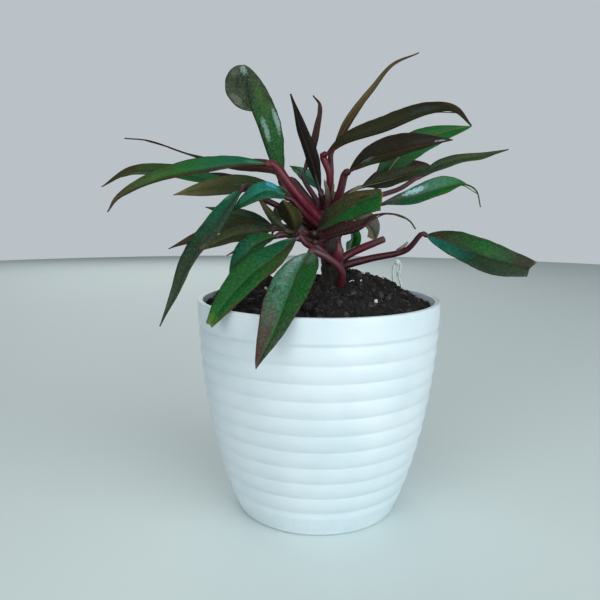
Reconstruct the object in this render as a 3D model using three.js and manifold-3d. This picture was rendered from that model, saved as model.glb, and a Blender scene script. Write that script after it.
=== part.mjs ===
// A potted dark-leaved philodendron: a white ringed pot, a mound of potting soil, and a
// short stem that carries long narrow leaves on red stalks.
// Millimetres, +Z up. The origin is on the pot's axis, on the surface the pot stands on.
// The plant is looked at from the -Y side, with +X to the right.

import * as THREE from 'three';
import { mergeVertices } from 'three/addons/utils/BufferGeometryUtils.js';
import Module from 'manifold-3d';

// The pot
const POT_HEIGHT = 113;
const RIM_RADIUS = 63.5;
const FOOT_RADIUS = 41.4;
const WALL = 2.3;
const FLOOR_THICKNESS = 3.4;
// How quickly the wall opens above the foot: under 1 it is nearly upright at the rim
const FLARE = 0.72;
const LIP_ROUND = 0.8;
const FOOT_ROUND = 2.4;
const INNER_ROUND = 4;
// The heights that shape the inner wall, shared by the pot and the soil in it
const INNER_LEVELS = [8, 20, 50, 90];
const RING_COUNT = 10;
const RING_PITCH = 8.5;
const RING_START = 14.5;
const RING_DEPTH = 0.9;
// Under 1 the grooves between the rings are narrow and the rings are broad
const RING_BREADTH = 0.7;
// Where each ring has its corners, from one groove to the next
const RING_PARTS = [0, 0.25, 0.75];
const POT_SIDES = 40;

// The soil
const SOIL_GAP = 0.5;
const SOIL_EDGE_GAP = 0.8;
const SOIL_WALL_LEVEL = 108;
const SOIL_DOME = 10;
const SOIL_RINGS = 8;
// The radius of the mound's small flat centre, as a share of one ring's width
const SOIL_CENTRE = 0.125;
// Heaps on the mound: x, y, how far each one reaches, and how high it stands
const SOIL_HEAPS = [[14, 12, 12, 10], [37, 22, 8, 7], [-24, 20, 9, 6], [-49, 24, 8, 6]];
// Low waves across the mound: height, and how fast each one turns along x and along y
const SOIL_WAVES = [[0.7, 0.31, 0.27], [0.5, 0.17, -0.41]];

// The stem
const STEM_FOOT = [8, 1, 92];
const STEM_MIDDLE = [7, 1, 134];
const STEM_TOP = [1, 2, 161];
const STEM_FOOT_RADIUS = 8.5;
const STEM_TOP_RADIUS = 5;
const STEM_SIDES = 10;
const STEM_STATIONS = 8;
// The hole in the soil that the stem stands in
const STEM_HOLE = { centre: [8, 0], radius: 10.8 };
const HOLE_DEPTH = 20;
// How far a hole is cut above the soil's edge, which clears the mound
const HOLE_CLEARANCE = 40;
const HOLE_SIDES = 16;

// The leaves
const BLADE_THICKNESS = 0.7;
const RIB_THICKNESS = 1.1;
const BLADE_STATIONS = 11;
const LEAST_HALF_WIDTH = 0.45;
// How far each half bulges up between the rib and the edge, as a share of its width
const BLADE_BULGE = 0.08;
// How fast the edge waves along the blade, in radians from base to tip
const WAVE_TURN = 15;
const STALK_SIDES = 6;
const STALK_STATIONS = 7;
const STALK_STRAIGHT = 2;
const NODE_GAP = 0.4;
const EXTRA_STATIONS = 5;

// The wire
const WIRE_RADIUS = 0.6;
const WIRE_HOLE_RADIUS = 1.1;
const WIRE_SIDES = 6;
const WIRE_STATIONS = 15;
const WIRE_PATH = [
  [44, 31, 104], [44, 31, 116], [44, 31, 126], [46, 31, 130], [48, 31, 127], [47, 31, 121],
  [49, 31, 114], [49, 31, 104],
];
const WIRE_KNOT = { centre: [47, 31, 122], radius: 1.3 };
const WIRE_TOP = { centre: [46, 31, 128.5], radius: 1.8 };

const wasm = await Module();
wasm.setup();

const vector = (p) => new THREE.Vector3(...p);
const mix = (a, b, t) => a + (b - a) * t;

// A curve through the points that shape it
function curveThrough(points) {
  return new THREE.CatmullRomCurve3(points.map(vector), false, 'centripetal');
}

// Solids and booleans

function toManifold(geometry) {
  const bare = new THREE.BufferGeometry();
  bare.setAttribute('position', geometry.getAttribute('position').clone());
  if (geometry.index) {
    bare.setIndex(geometry.index.clone());
  }
  const merged = mergeVertices(bare, 1e-4);
  return new wasm.Manifold(new wasm.Mesh({
    numProp: 3,
    vertProperties: new Float32Array(merged.getAttribute('position').array),
    triVerts: new Uint32Array(merged.index.array),
  }));
}

function toGeometry(solid) {
  const mesh = solid.getMesh();
  const geometry = new THREE.BufferGeometry();
  const numbers = new Float32Array(mesh.vertProperties);
  geometry.setAttribute('position', new THREE.BufferAttribute(numbers, 3));
  geometry.setIndex(new THREE.BufferAttribute(new Uint32Array(mesh.triVerts), 1));
  geometry.computeVertexNormals();
  return geometry;
}

// Joins rings of equally many points into a closed skin with a flat cap on each end
function skin(rings) {
  const count = rings[0].length;
  const points = rings.flat();
  const triangles = [];
  for (let i = 0; i + 1 < rings.length; i += 1) {
    for (let j = 0; j < count; j += 1) {
      const a = i * count + j;
      const b = i * count + (j + 1) % count;
      triangles.push(a, b, b + count, a, b + count, a + count);
    }
  }
  const last = (rings.length - 1) * count;
  for (let j = 1; j + 1 < count; j += 1) {
    triangles.push(0, j + 1, j);
    triangles.push(last, last + j, last + j + 1);
  }
  const geometry = new THREE.BufferGeometry();
  const numbers = points.flatMap((p) => [p.x, p.y, p.z]);
  geometry.setAttribute('position', new THREE.Float32BufferAttribute(numbers, 3));
  geometry.setIndex(triangles);
  geometry.computeVertexNormals();
  return geometry;
}

// A round bar along a curve, with a radius that changes from end to end
function bar(points, radiusAt, sides, stations) {
  const curve = curveThrough(points);
  const frames = curve.computeFrenetFrames(stations - 1);
  const rings = [];
  for (let i = 0; i < stations; i += 1) {
    const t = i / (stations - 1);
    const centre = curve.getPointAt(t);
    const ring = [];
    for (let j = 0; j < sides; j += 1) {
      const turn = (2 * Math.PI * j) / sides;
      ring.push(centre.clone()
        .addScaledVector(frames.normals[i], radiusAt(t) * Math.cos(turn))
        .addScaledVector(frames.binormals[i], radiusAt(t) * Math.sin(turn)));
    }
    rings.push(ring);
  }
  return skin(rings);
}

// The pot: one wall turned about the axis, with soft rings on the outside

function potRadius(z) {
  const share = z / POT_HEIGHT;
  const opening = Math.pow(Math.sin(share * Math.PI / 2), FLARE);
  return mix(FOOT_RADIUS, RIM_RADIUS, opening);
}

function ringedRadius(z) {
  const along = (z - RING_START) / RING_PITCH;
  if (along < 0 || along > RING_COUNT) {
    return potRadius(z);
  }
  const stands = Math.pow(Math.abs(Math.sin(Math.PI * along)), RING_BREADTH);
  return potRadius(z) - RING_DEPTH * (1 - stands);
}

function innerRadius(z) {
  return potRadius(z) - WALL - RING_DEPTH * 0.5;
}

function potGeometry() {
  const profile = [
    [0, 0],
    [potRadius(0) - FOOT_ROUND, 0],
    [potRadius(0) - FOOT_ROUND * 0.2, FOOT_ROUND * 0.3],
    [potRadius(FOOT_ROUND), FOOT_ROUND],
  ];
  for (const z of [RING_START * 0.4, RING_START * 0.7]) {
    profile.push([potRadius(z), z]);
  }
  for (let ring = 0; ring < RING_COUNT; ring += 1) {
    for (const part of RING_PARTS) {
      const z = RING_START + (ring + part) * RING_PITCH;
      profile.push([ringedRadius(z), z]);
    }
  }
  const ringsEnd = RING_START + RING_COUNT * RING_PITCH;
  profile.push([ringedRadius(ringsEnd), ringsEnd]);
  profile.push([potRadius(ringsEnd + 2), ringsEnd + 2]);
  profile.push([RIM_RADIUS, POT_HEIGHT - LIP_ROUND]);
  profile.push([RIM_RADIUS - LIP_ROUND * 0.5, POT_HEIGHT]);
  profile.push([RIM_RADIUS - WALL + LIP_ROUND * 0.5, POT_HEIGHT]);
  for (const z of [POT_HEIGHT - LIP_ROUND, ...INNER_LEVELS.toReversed()]) {
    profile.push([innerRadius(z), z]);
  }
  profile.push([innerRadius(INNER_LEVELS[0]) - INNER_ROUND, FLOOR_THICKNESS]);
  profile.push([0, FLOOR_THICKNESS]);
  return lathe(profile);
}

function lathe(profile) {
  const outline = profile.map(([r, z]) => new THREE.Vector2(r, z));
  const geometry = new THREE.LatheGeometry(outline, POT_SIDES);
  geometry.rotateX(Math.PI / 2);
  return toGeometry(toManifold(geometry));
}

// The soil: a plug that fills the pot, with a lumpy mound on top

function soilLevel(x, y) {
  const r = Math.hypot(x, y);
  const dome = SOIL_DOME * (1 - Math.pow(r / RIM_RADIUS, 2));
  let heaps = 0;
  for (const [heapX, heapY, reach, height] of SOIL_HEAPS) {
    heaps += height * Math.exp(-Math.pow(Math.hypot(x - heapX, y - heapY) / reach, 2) / 2);
  }
  let waves = 0;
  for (const [height, alongX, alongY] of SOIL_WAVES) {
    waves += height * Math.sin(x * alongX + y * alongY);
  }
  return SOIL_WALL_LEVEL + dome + heaps + waves;
}

function soilGeometry() {
  const rings = [];
  const ringAt = (radius, heightAt) => {
    const ring = [];
    for (let j = 0; j < POT_SIDES; j += 1) {
      const turn = (2 * Math.PI * j) / POT_SIDES;
      const x = radius * Math.cos(turn);
      const y = radius * Math.sin(turn);
      ring.push(new THREE.Vector3(x, y, heightAt(x, y)));
    }
    return ring;
  };
  const foot = innerRadius(INNER_LEVELS[0]) - INNER_ROUND - SOIL_GAP;
  rings.push(ringAt(foot, () => FLOOR_THICKNESS + SOIL_GAP));
  for (const z of INNER_LEVELS) {
    rings.push(ringAt(innerRadius(z) - SOIL_GAP, () => z));
  }
  const edge = innerRadius(SOIL_WALL_LEVEL) - SOIL_EDGE_GAP;
  for (let i = SOIL_RINGS; i > 0; i -= 1) {
    rings.push(ringAt((edge * i) / SOIL_RINGS, soilLevel));
  }
  rings.push(ringAt((edge * SOIL_CENTRE) / SOIL_RINGS, soilLevel));
  return skin(rings);
}

// The stem

const stemCurve = curveThrough([STEM_FOOT, STEM_MIDDLE, STEM_TOP]);

function stemPoint(height) {
  const t = (height - STEM_FOOT[2]) / (STEM_TOP[2] - STEM_FOOT[2]);
  const p = stemCurve.getPointAt(Math.min(Math.max(t, 0), 1));
  return [p.x, p.y, p.z];
}

function stemGeometry() {
  const radiusAt = (t) => mix(STEM_FOOT_RADIUS, STEM_TOP_RADIUS, t);
  return bar([STEM_FOOT, STEM_MIDDLE, STEM_TOP], radiusAt, STEM_SIDES, STEM_STATIONS);
}

// The leaves. Each one leaves the stem at a height, runs along its stalk's points, and its
// blade follows the rib's points. Left and right are as seen from the base towards the tip
// with the upper face up. "looks" is the direction of the upper face at the base, and
// "tipLooks" at the tip. "fold" is how far each half stands up from flat, in degrees.
// A half is: wide, its greatest width; widest, where that is along the blade; base and tip,
// how blunt (low) or drawn out (high) its ends are; from, where a torn half begins.
// "cut" is the share of the blade left where its end was cut off, and "thread" is the share
// of it that is a fine drip tip.

const LEAVES = {
  upper_torn_leaf: {
    height: 152, stalk: [[-8, 10, 165]], thick: [2, 1.4],
    rib: [[-21, 15, 174], [-27, 20, 187], [-32, 25, 201], [-38, 30, 216], [-42, 35, 238]],
    left: { wide: 13, widest: 0.8, base: 0.4, tip: 0.45, from: 0.62 },
    right: { wide: 12.5, widest: 0.6, base: 0.6, tip: 0.7 },
    looks: [0.3, -1, 0.2], tipLooks: [0.2, -1, 0.3], fold: 16, wave: 0.6,
  },
  upper_dark_leaf: {
    height: 156, stalk: [], thick: [2.4, 1.5],
    rib: [[0, -7, 168], [-5, -10, 184], [-10, -11, 198], [-15, -11, 215]],
    left: { wide: 5.5 }, right: { wide: 5 },
    looks: [0.2, 1, 0.2], fold: 52, wave: 0.2,
  },
  upper_curled_leaf: {
    height: 155, stalk: [[-1, 8, 163]], thick: [2, 1.3],
    rib: [[-8, 12, 178], [-5, 13, 190], [-2, 14, 203], [0, 15, 213.5], [-3.5, 14, 218.5]],
    left: { wide: 3 }, right: { wide: 3 },
    looks: [0.8, 0.6, 0.2], fold: 50, wave: 0.2,
  },
  upper_tall_leaf: {
    height: 154, stalk: [[6, 8, 176]], thick: [2.2, 1.5],
    rib: [[7, 8, 190], [16, 12, 206], [28, 18, 222], [39, 24, 236], [54, 30, 244]],
    left: { wide: 3.6, widest: 0.25 }, right: { wide: 2.6, widest: 0.25 },
    looks: [0, 1, 0.2], tipLooks: [-1, 0.2, 0.8], fold: 32, wave: 0.2,
  },
  right_top_leaf: {
    height: 155, stalk: [[5, -5, 176]], thick: [2.4, 1.8],
    rib: [[3, -8, 187], [12, -15, 192], [30, -23, 197], [49, -31, 204], [59, -38, 204], [66, -43, 197]],
    left: { wide: 6.5, widest: 0.4 }, right: { wide: 6.5, widest: 0.45 },
    looks: [-0.2, 0.7, 0.7], fold: 45, wave: 0.3,
  },
  right_bronze_leaf: {
    height: 150, stalk: [[10, -10, 168]], thick: [2.6, 1.9],
    rib: [[14, -16, 178], [23, -23, 183], [38, -32, 187], [58, -42, 191]],
    left: { wide: 6, widest: 0.25, tip: 1.5 }, right: { wide: 8, widest: 0.5 },
    looks: [-0.1, 0.9, 0.5], fold: 30, wave: 0.3,
  },
  right_back_green_leaf: {
    height: 152, stalk: [[20, 16, 164]], thick: [2, 1.4],
    rib: [[32, 22, 170], [38, 24, 179], [44, 27, 187], [54, 31, 195], [69, 38, 202], [89, 45, 207]],
    left: { wide: 8, widest: 0.3, base: 0.5 }, right: { wide: 7.5, widest: 0.45, tip: 0.75 },
    looks: [0.4, -1, 0.3], tipLooks: [0, -1, 0.5], fold: 12, wave: 0.4,
  },
  right_long_leaf: {
    height: 148, stalk: [[20, 1, 162], [42, 3, 170]], thick: [2, 1.2],
    rib: [[53, 5, 176.5], [69, 8, 183.5], [86, 13, 187], [103, 20, 192]],
    left: { wide: 4, widest: 0.25 }, right: { wide: 3.6, widest: 0.35 },
    looks: [0, -0.8, 0.7], fold: 30, wave: 0.3,
  },
  right_olive_leaf: {
    height: 150, stalk: [[14, 9, 164]], thick: [1.6, 1],
    rib: [[23, 12, 171], [37, 15, 174.5], [54, 19, 179.5], [66, 22, 183]],
    left: { wide: 5.5, widest: 0.35 }, right: { wide: 5.5, widest: 0.35 },
    looks: [0, -0.9, 0.6], fold: 20, wave: 0.4,
  },
  right_back_tip_leaf: {
    height: 150, stalk: [[10, 18, 163]], thick: [1.8, 1.2],
    rib: [[25, 33, 172], [44, 44, 181], [67, 52, 185]],
    left: { wide: 6, widest: 0.7, tip: 0.7 }, right: { wide: 5 },
    looks: [0, -0.6, 0.8], fold: 20, wave: 0.3,
  },
  right_bright_leaf: {
    height: 144, stalk: [[16, -2, 157]], thick: [2.2, 1.4],
    rib: [[31, -5, 162], [45, -10, 165], [60, -14, 170], [71, -17, 172], [76, -19, 169], [78, -21, 161]],
    left: { wide: 6.5, widest: 0.7 }, right: { wide: 6.5, widest: 0.6 },
    looks: [0, -0.8, 0.7], fold: 20, wave: 0.3, thread: 0.24,
  },
  right_near_leaf: {
    height: 146, stalk: [], thick: [2.6, 1.9],
    rib: [[-2, -12, 148], [7, -20, 156], [18, -27, 163], [29, -32, 167]],
    left: { wide: 7.5, widest: 0.3 }, right: { wide: 10.5, widest: 0.8 },
    looks: [-0.3, -0.8, 0.8], tipLooks: [-0.2, -0.8, 0.55], fold: 12, wave: 0.3, cut: 0.84,
  },
  right_brown_leaf: {
    height: 130, stalk: [[4, -9, 135]], thick: [2.4, 1.6],
    rib: [
      [-1, -11, 143], [8, -18, 147], [20, -20, 151], [28, -19, 157], [38, -19, 157],
      [44, -19, 154], [47, -19, 150],
    ],
    left: { wide: 5, widest: 0.4 }, right: { wide: 5, widest: 0.4 },
    looks: [0, 0.8, 0.6], fold: 35, wave: 0.2, thread: 0.36,
  },
  right_far_leaf: {
    height: 142, stalk: [[12, 16, 151]], thick: [2, 1.3],
    rib: [[18, 30, 154], [26, 42, 152.5], [33, 52, 147], [36.5, 58, 139]],
    left: { wide: 7, widest: 0.6 }, right: { wide: 7, widest: 0.6 },
    looks: [0.2, -0.8, 0.6], tipLooks: [0.1, -1, 0.1], fold: 20, wave: 0.6,
  },
  right_hanging_leaf: {
    height: 136, stalk: [[12, 12, 146]], thick: [2, 1.3],
    rib: [[17, 18, 149], [20, 24, 143], [17, 28, 130]],
    left: { wide: 4.5 }, right: { wide: 4.5 },
    looks: [0.2, -1, 0.5], fold: 20, wave: 0.3,
  },
  right_low_leaf: {
    height: 126, stalk: [[14, -1, 130], [27, -4, 134], [44, -11, 139]], thick: [2.6, 1.3],
    rib: [[53, -18, 147], [66, -23, 143], [81, -28, 137], [102, -34, 132]],
    left: { wide: 9.5, widest: 0.4, base: 0.6 }, right: { wide: 11.5, widest: 0.45, base: 0.6 },
    looks: [0.2, -0.9, 0.8], fold: 10, wave: 0.3, cut: 0.82,
  },
  left_long_leaf: {
    height: 148, stalk: [[-13, -13, 168]], thick: [5, 2],
    rib: [
      [-26, -18, 181], [-41, -24, 180], [-62, -31, 176], [-80, -36, 171], [-93, -41, 164],
      [-97, -45, 158],
    ],
    left: { wide: 6, widest: 0.2, tip: 1.3 }, right: { wide: 6.5, widest: 0.4 },
    looks: [0, -0.66, 0.75], fold: 28, wave: 0.3,
  },
  left_high_leaf: {
    height: 152, stalk: [[-8, 3, 167]], thick: [2.6, 1.6],
    rib: [[-16, 6, 175], [-27, 9, 180], [-51, 18, 182.5], [-76, 30, 190], [-97, 40, 197], [-113, 48, 199]],
    left: { wide: 4.5, widest: 0.15, tip: 1.6 }, right: { wide: 5, widest: 0.25, tip: 1.6 },
    looks: [0.1, 0.9, 0.6], fold: 30, wave: 0.2, thread: 0.36,
  },
  left_back_leaf: {
    height: 148, stalk: [[-8, 15, 161]], thick: [2, 1.4],
    rib: [[-30, 26, 169], [-59, 33, 174], [-88, 39, 179], [-109, 42, 179], [-127, 45, 171]],
    left: { wide: 6, widest: 0.6 }, right: { wide: 6, widest: 0.6 },
    looks: [0, -0.7, 0.8], fold: 20, wave: 0.3,
  },
  left_olive_leaf: {
    height: 147, stalk: [[-8, 4, 160]], thick: [2, 1.4],
    rib: [[-22, 4, 170], [-36, 1, 172], [-54, -2, 170], [-75, -5, 166]],
    left: { wide: 7, widest: 0.5 }, right: { wide: 5.5, widest: 0.5 },
    looks: [0, -0.9, 0.6], fold: 15, wave: 0.3,
  },
  left_thin_leaf: {
    height: 148, stalk: [[-8, 22, 160]], thick: [1.8, 1.2],
    rib: [[-26, 42, 171], [-52, 51, 177], [-81, 60, 179]],
    left: { wide: 5 }, right: { wide: 5 },
    looks: [0, 0.2, 1], fold: 14, wave: 0.2,
  },
  left_drooping_leaf: {
    height: 144, stalk: [[-22, -8, 161], [-31, -14, 165]], thick: [2.2, 1.4],
    rib: [[-39, -22, 168], [-50, -36, 151], [-60, -47, 136], [-66, -54, 121], [-72, -58, 108]],
    left: { wide: 6, widest: 0.3 }, right: { wide: 6, widest: 0.3, base: 0.5 },
    looks: [-0.4, -0.8, 0.4], fold: 22, wave: 0.3,
  },
  left_teal_leaf: {
    height: 146, stalk: [[-6, -12, 155]], thick: [2.2, 1.5],
    rib: [[-17, -20, 165], [-26, -25, 168], [-35, -27, 164], [-43, -26, 158]],
    left: { wide: 6 }, right: { wide: 5.5 },
    looks: [0, -0.8, 0.7], fold: 15, wave: 0.3,
  },
  left_grey_leaf: {
    height: 141, stalk: [[-8, -2, 148]], thick: [2, 1.4],
    rib: [[-25, -1, 151], [-38, -2, 154], [-58, -8, 160]],
    left: { wide: 5 }, right: { wide: 4.5 },
    looks: [0, -0.9, 0.6], fold: 20, wave: 0.3,
  },
  left_low_back_leaf: {
    height: 140, stalk: [[-9, 9, 146]], thick: [2, 1.3],
    rib: [[-29, 17, 149], [-49, 21, 150], [-67, 25, 143], [-85, 28, 136]],
    left: { wide: 5 }, right: { wide: 5 },
    looks: [0, -0.8, 0.6], fold: 20, wave: 0.3,
  },
  left_low_leaf: {
    height: 139, stalk: [[-10, -5, 145]], thick: [2.2, 1.4],
    rib: [[-24, -11, 149], [-43, -17, 146], [-59, -24, 139]],
    left: { wide: 6 }, right: { wide: 5 },
    looks: [0, -0.8, 0.7], fold: 15, wave: 0.3,
  },
  left_tail_leaf: {
    height: 136, stalk: [[-4, 15, 141]], thick: [1.8, 1.2],
    rib: [[-18, 28, 144], [-35, 38, 140], [-54, 46, 131]],
    left: { wide: 4 }, right: { wide: 4 },
    looks: [0, -0.3, 1], fold: 20, wave: 0.2,
  },
  front_short_leaf: {
    height: 138, stalk: [[-4, -9, 143]], thick: [2.2, 1.6],
    rib: [[-12, -18, 148], [-14, -27, 156], [-18, -36, 164]],
    left: { wide: 5, widest: 0.5 }, right: { wide: 9, widest: 0.45, base: 0.6 },
    looks: [0.3, 0.5, 0.8], fold: 18, wave: 0.3,
  },
  front_thin_leaf: {
    height: 139, stalk: [[-9, -8, 146]], thick: [1.8, 1.2],
    rib: [[-17, -14, 149], [-24, -16, 154], [-31, -20, 166]],
    left: { wide: 3.5 }, right: { wide: 3.5 },
    looks: [0.6, -0.6, 0.6], fold: 20, wave: 0.2,
  },
  front_cut_leaf: {
    height: 136, stalk: [[-7, -13, 142]], thick: [2.2, 1.5],
    rib: [[-12, -17, 145], [-22, -28, 137], [-33, -38, 129], [-44, -47, 117], [-51, -52, 107]],
    left: { wide: 8, widest: 0.45 }, right: { wide: 8.5, widest: 0.4, base: 0.7 },
    looks: [-0.1, -0.8, 0.7], fold: 12, wave: 0.3, cut: 0.9,
  },
  front_green_leaf: {
    height: 139, stalk: [[-10, -8, 144]], thick: [2, 1.4],
    rib: [[-22, -16, 146], [-32, -22, 142], [-39, -28, 134], [-44, -33, 124]],
    left: { wide: 5 }, right: { wide: 6.5 },
    looks: [-0.1, -0.8, 0.7], fold: 15, wave: 0.3,
  },
  front_long_leaf: {
    height: 112, stalk: [[11, -6, 120], [11, -11, 128], [4, -16, 135]], thick: [2.6, 1.9],
    rib: [[-5, -22, 138], [-11, -40, 131], [-16, -56, 120], [-22, -70, 106], [-28, -77, 94]],
    left: { wide: 10, widest: 0.35, base: 0.5 }, right: { wide: 9.5, widest: 0.5, base: 0.6, tip: 0.8 },
    looks: [-0.1, -0.7, 0.7], fold: 12, wave: 0.4,
  },
  back_green_leaf: {
    height: 154, stalk: [[1, 9, 162]], thick: [1.8, 1.2],
    rib: [[0, 15, 170], [-7, 22, 177], [-16, 31, 183]],
    left: { wide: 5 }, right: { wide: 5 },
    looks: [0.2, -0.8, 0.6], fold: 15, wave: 0.3,
  },
  back_arching_leaf: {
    height: 147, stalk: [[6, 12, 158]], thick: [2.2, 1.5],
    rib: [[9, 24, 164], [14, 45, 167], [20, 70, 159], [24, 92, 144]],
    left: { wide: 7.5 }, right: { wide: 7.5 },
    looks: [0, 0, 1], fold: 20, wave: 0.4,
  },
  back_left_leaf: {
    height: 145, stalk: [[-4, 16, 155]], thick: [2.2, 1.5],
    rib: [[-8, 30, 160], [-16, 52, 160], [-24, 72, 152], [-29, 86, 140]],
    left: { wide: 7 }, right: { wide: 7 },
    looks: [0, 0, 1], fold: 20, wave: 0.4,
  },
  back_low_leaf: {
    height: 138, stalk: [[0, 12, 146]], thick: [2.2, 1.5],
    rib: [[-4, 26, 150], [-6, 44, 148], [-6, 62, 138]],
    left: { wide: 7 }, right: { wide: 7 },
    looks: [0, 0, 1], fold: 20, wave: 0.4,
  },
};

// How wide a half is at a place along the whole blade, from 0 at the base to 1 at the tip
function halfWidth(half, t) {
  const { wide, widest = 0.38, base = 0.8, tip = 1.1, from = 0 } = half;
  if (t <= from) {
    return 0;
  }
  if (t < widest) {
    const rise = (t - from) / (widest - from);
    return wide * Math.pow(Math.sin(rise * Math.PI / 2), base);
  }
  const fall = (t - widest) / (1 - widest);
  return wide * Math.pow(Math.max(Math.cos(fall * Math.PI / 2), 0), tip);
}

// One cross-section of a blade: ten points round it, from the left edge over the upper
// face to the right edge and back below
function bladeSection(leaf, curve, t) {
  const centre = curve.getPointAt(t);
  const along = curve.getTangentAt(t);
  const looks = vector(leaf.looks).lerp(vector(leaf.tipLooks ?? leaf.looks), t);
  const side = new THREE.Vector3().crossVectors(along, looks).normalize();
  const up = new THREE.Vector3().crossVectors(side, along).normalize();
  const shaped = Math.min(t * (leaf.cut ?? 1) / (1 - (leaf.thread ?? 0)), 1);
  const fold = THREE.MathUtils.degToRad(leaf.fold);
  const over = [];
  const under = [];
  const half = (shape, sign) => {
    const width = Math.max(halfWidth(shape, shaped), LEAST_HALF_WIDTH);
    const out = side.clone().multiplyScalar(sign * Math.cos(fold));
    out.addScaledVector(up, Math.sin(fold));
    const face = up.clone().multiplyScalar(Math.cos(fold));
    face.addScaledVector(side, -sign * Math.sin(fold));
    const ripple = leaf.wave * Math.sin(t * WAVE_TURN + sign) * Math.min(width / shape.wide, 1);
    const bulge = width * BLADE_BULGE;
    for (const [share, rise] of [[1, ripple], [0.5, bulge + ripple * 0.5]]) {
      const top = centre.clone().addScaledVector(out, width * share).addScaledVector(face, rise);
      over.push(top);
      under.push(top.clone().addScaledVector(face, -BLADE_THICKNESS));
    }
  };
  half(leaf.left, -1);
  const leftOver = over.splice(0);
  const leftUnder = under.splice(0);
  half(leaf.right, 1);
  const ribUnder = centre.clone().addScaledVector(up, -RIB_THICKNESS);
  return [
    ...leftOver, centre, over[1], over[0],
    under[0], under[1], ribUnder, leftUnder[1], leftUnder[0],
  ];
}

function bladeGeometry(leaf) {
  const curve = curveThrough(leaf.rib);
  const rings = [];
  for (let i = 0; i < BLADE_STATIONS; i += 1) {
    rings.push(bladeSection(leaf, curve, i / (BLADE_STATIONS - 1)));
  }
  return skin(rings);
}

// A stalk runs from inside the stem to just short of the blade
function stalkGeometry(leaf) {
  const towards = curveThrough(leaf.rib).getTangentAt(0);
  const end = vector(leaf.rib[0]).addScaledVector(towards, -NODE_GAP);
  const beforeEnd = end.clone().addScaledVector(towards, -STALK_STRAIGHT);
  const points = [stemPoint(leaf.height), ...leaf.stalk, beforeEnd.toArray(), end.toArray()];
  const [thick, thin] = leaf.thick;
  return bar(points, (t) => mix(thick, thin, t), STALK_SIDES, STALK_STATIONS);
}

// What else stands on the stem: a cut stalk, a closed bud and dry pointed sheaths, each from
// its thick end to its thin end

const STEM_EXTRAS = {
  cutStalk: { points: [[8, 1, 130], [17, 3, 136], [35, 2, 144]], thick: [2.4, 1.8] },
  bud: { points: [[8, -3, 132], [10, -9, 138], [9, -9, 144]], thick: [3.2, 1.2] },
  leftSheath: { points: [[-4, -6, 143], [-11, -13, 150], [-15, -14, 164]], thick: [3.6, 0.7] },
  topSheath: { points: [[3, 0, 156], [4, -6, 166], [2, -9, 174]], thick: [2.4, 0.7] },
  topSpike: { points: [[4, 0, 156], [7, -7, 172]], thick: [1.8, 0.5] },
  stalkSplinter: { points: [[40, -9, 138], [45, -10, 143]], thick: [1.3, 0.5] },
};

function plantSolid() {
  let solid = toManifold(stemGeometry());
  for (const leaf of Object.values(LEAVES)) {
    solid = solid.add(toManifold(stalkGeometry(leaf)));
  }
  for (const { points, thick: [thick, thin] } of Object.values(STEM_EXTRAS)) {
    const radiusAt = (t) => mix(thick, thin, t);
    solid = solid.add(toManifold(bar(points, radiusAt, STALK_SIDES, EXTRA_STATIONS)));
  }
  return solid;
}

// The bent white wire that stands in the soil behind the plant

function wireGeometry() {
  let solid = toManifold(bar(WIRE_PATH, () => WIRE_RADIUS, WIRE_SIDES, WIRE_STATIONS));
  for (const { centre, radius } of [WIRE_KNOT, WIRE_TOP]) {
    const blob = new THREE.IcosahedronGeometry(radius, 0);
    blob.translate(...centre);
    solid = solid.add(toManifold(blob));
  }
  return toGeometry(solid);
}

// The plain holes in the soil that the stem and the wire stand in

function upright([x, y], radius) {
  const ends = [[x, y, SOIL_WALL_LEVEL - HOLE_DEPTH], [x, y, SOIL_WALL_LEVEL + HOLE_CLEARANCE]];
  return toManifold(bar(ends, () => radius, HOLE_SIDES, 2));
}

function drilledSoil() {
  const stemHole = upright(STEM_HOLE.centre, STEM_HOLE.radius);
  let solid = toManifold(soilGeometry()).subtract(stemHole);
  for (const end of [WIRE_PATH[0], WIRE_PATH.at(-1)]) {
    solid = solid.subtract(upright(end, WIRE_HOLE_RADIUS));
  }
  return solid;
}

// Materials

function finish(color, roughness) {
  return new THREE.MeshStandardMaterial({ color, roughness, metalness: 0 });
}

const whitePlastic = finish('#dfe8ea', 0.45);
const soilBrown = finish('#2b2420', 1);
const stalkRed = finish('#5e2431', 0.5);
const leafGreen = finish('#33502f', 0.4);
const whiteWire = finish('#e6ecea', 0.6);

const plant = new THREE.Group();

function place(name, geometry, material) {
  const mesh = new THREE.Mesh(geometry, material.clone());
  mesh.name = name;
  plant.add(mesh);
}

place('pot', potGeometry(), whitePlastic);
place('soil', toGeometry(drilledSoil()), soilBrown);
place('stem_and_stalks', toGeometry(plantSolid()), stalkRed);
place('white_wire', wireGeometry(), whiteWire);
for (const [name, leaf] of Object.entries(LEAVES)) {
  place(name, bladeGeometry(leaf), leafGreen);
}

export default plant;
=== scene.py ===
import math

import bmesh
import bpy
import numpy as np
from mathutils import Matrix, Vector, noise


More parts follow.
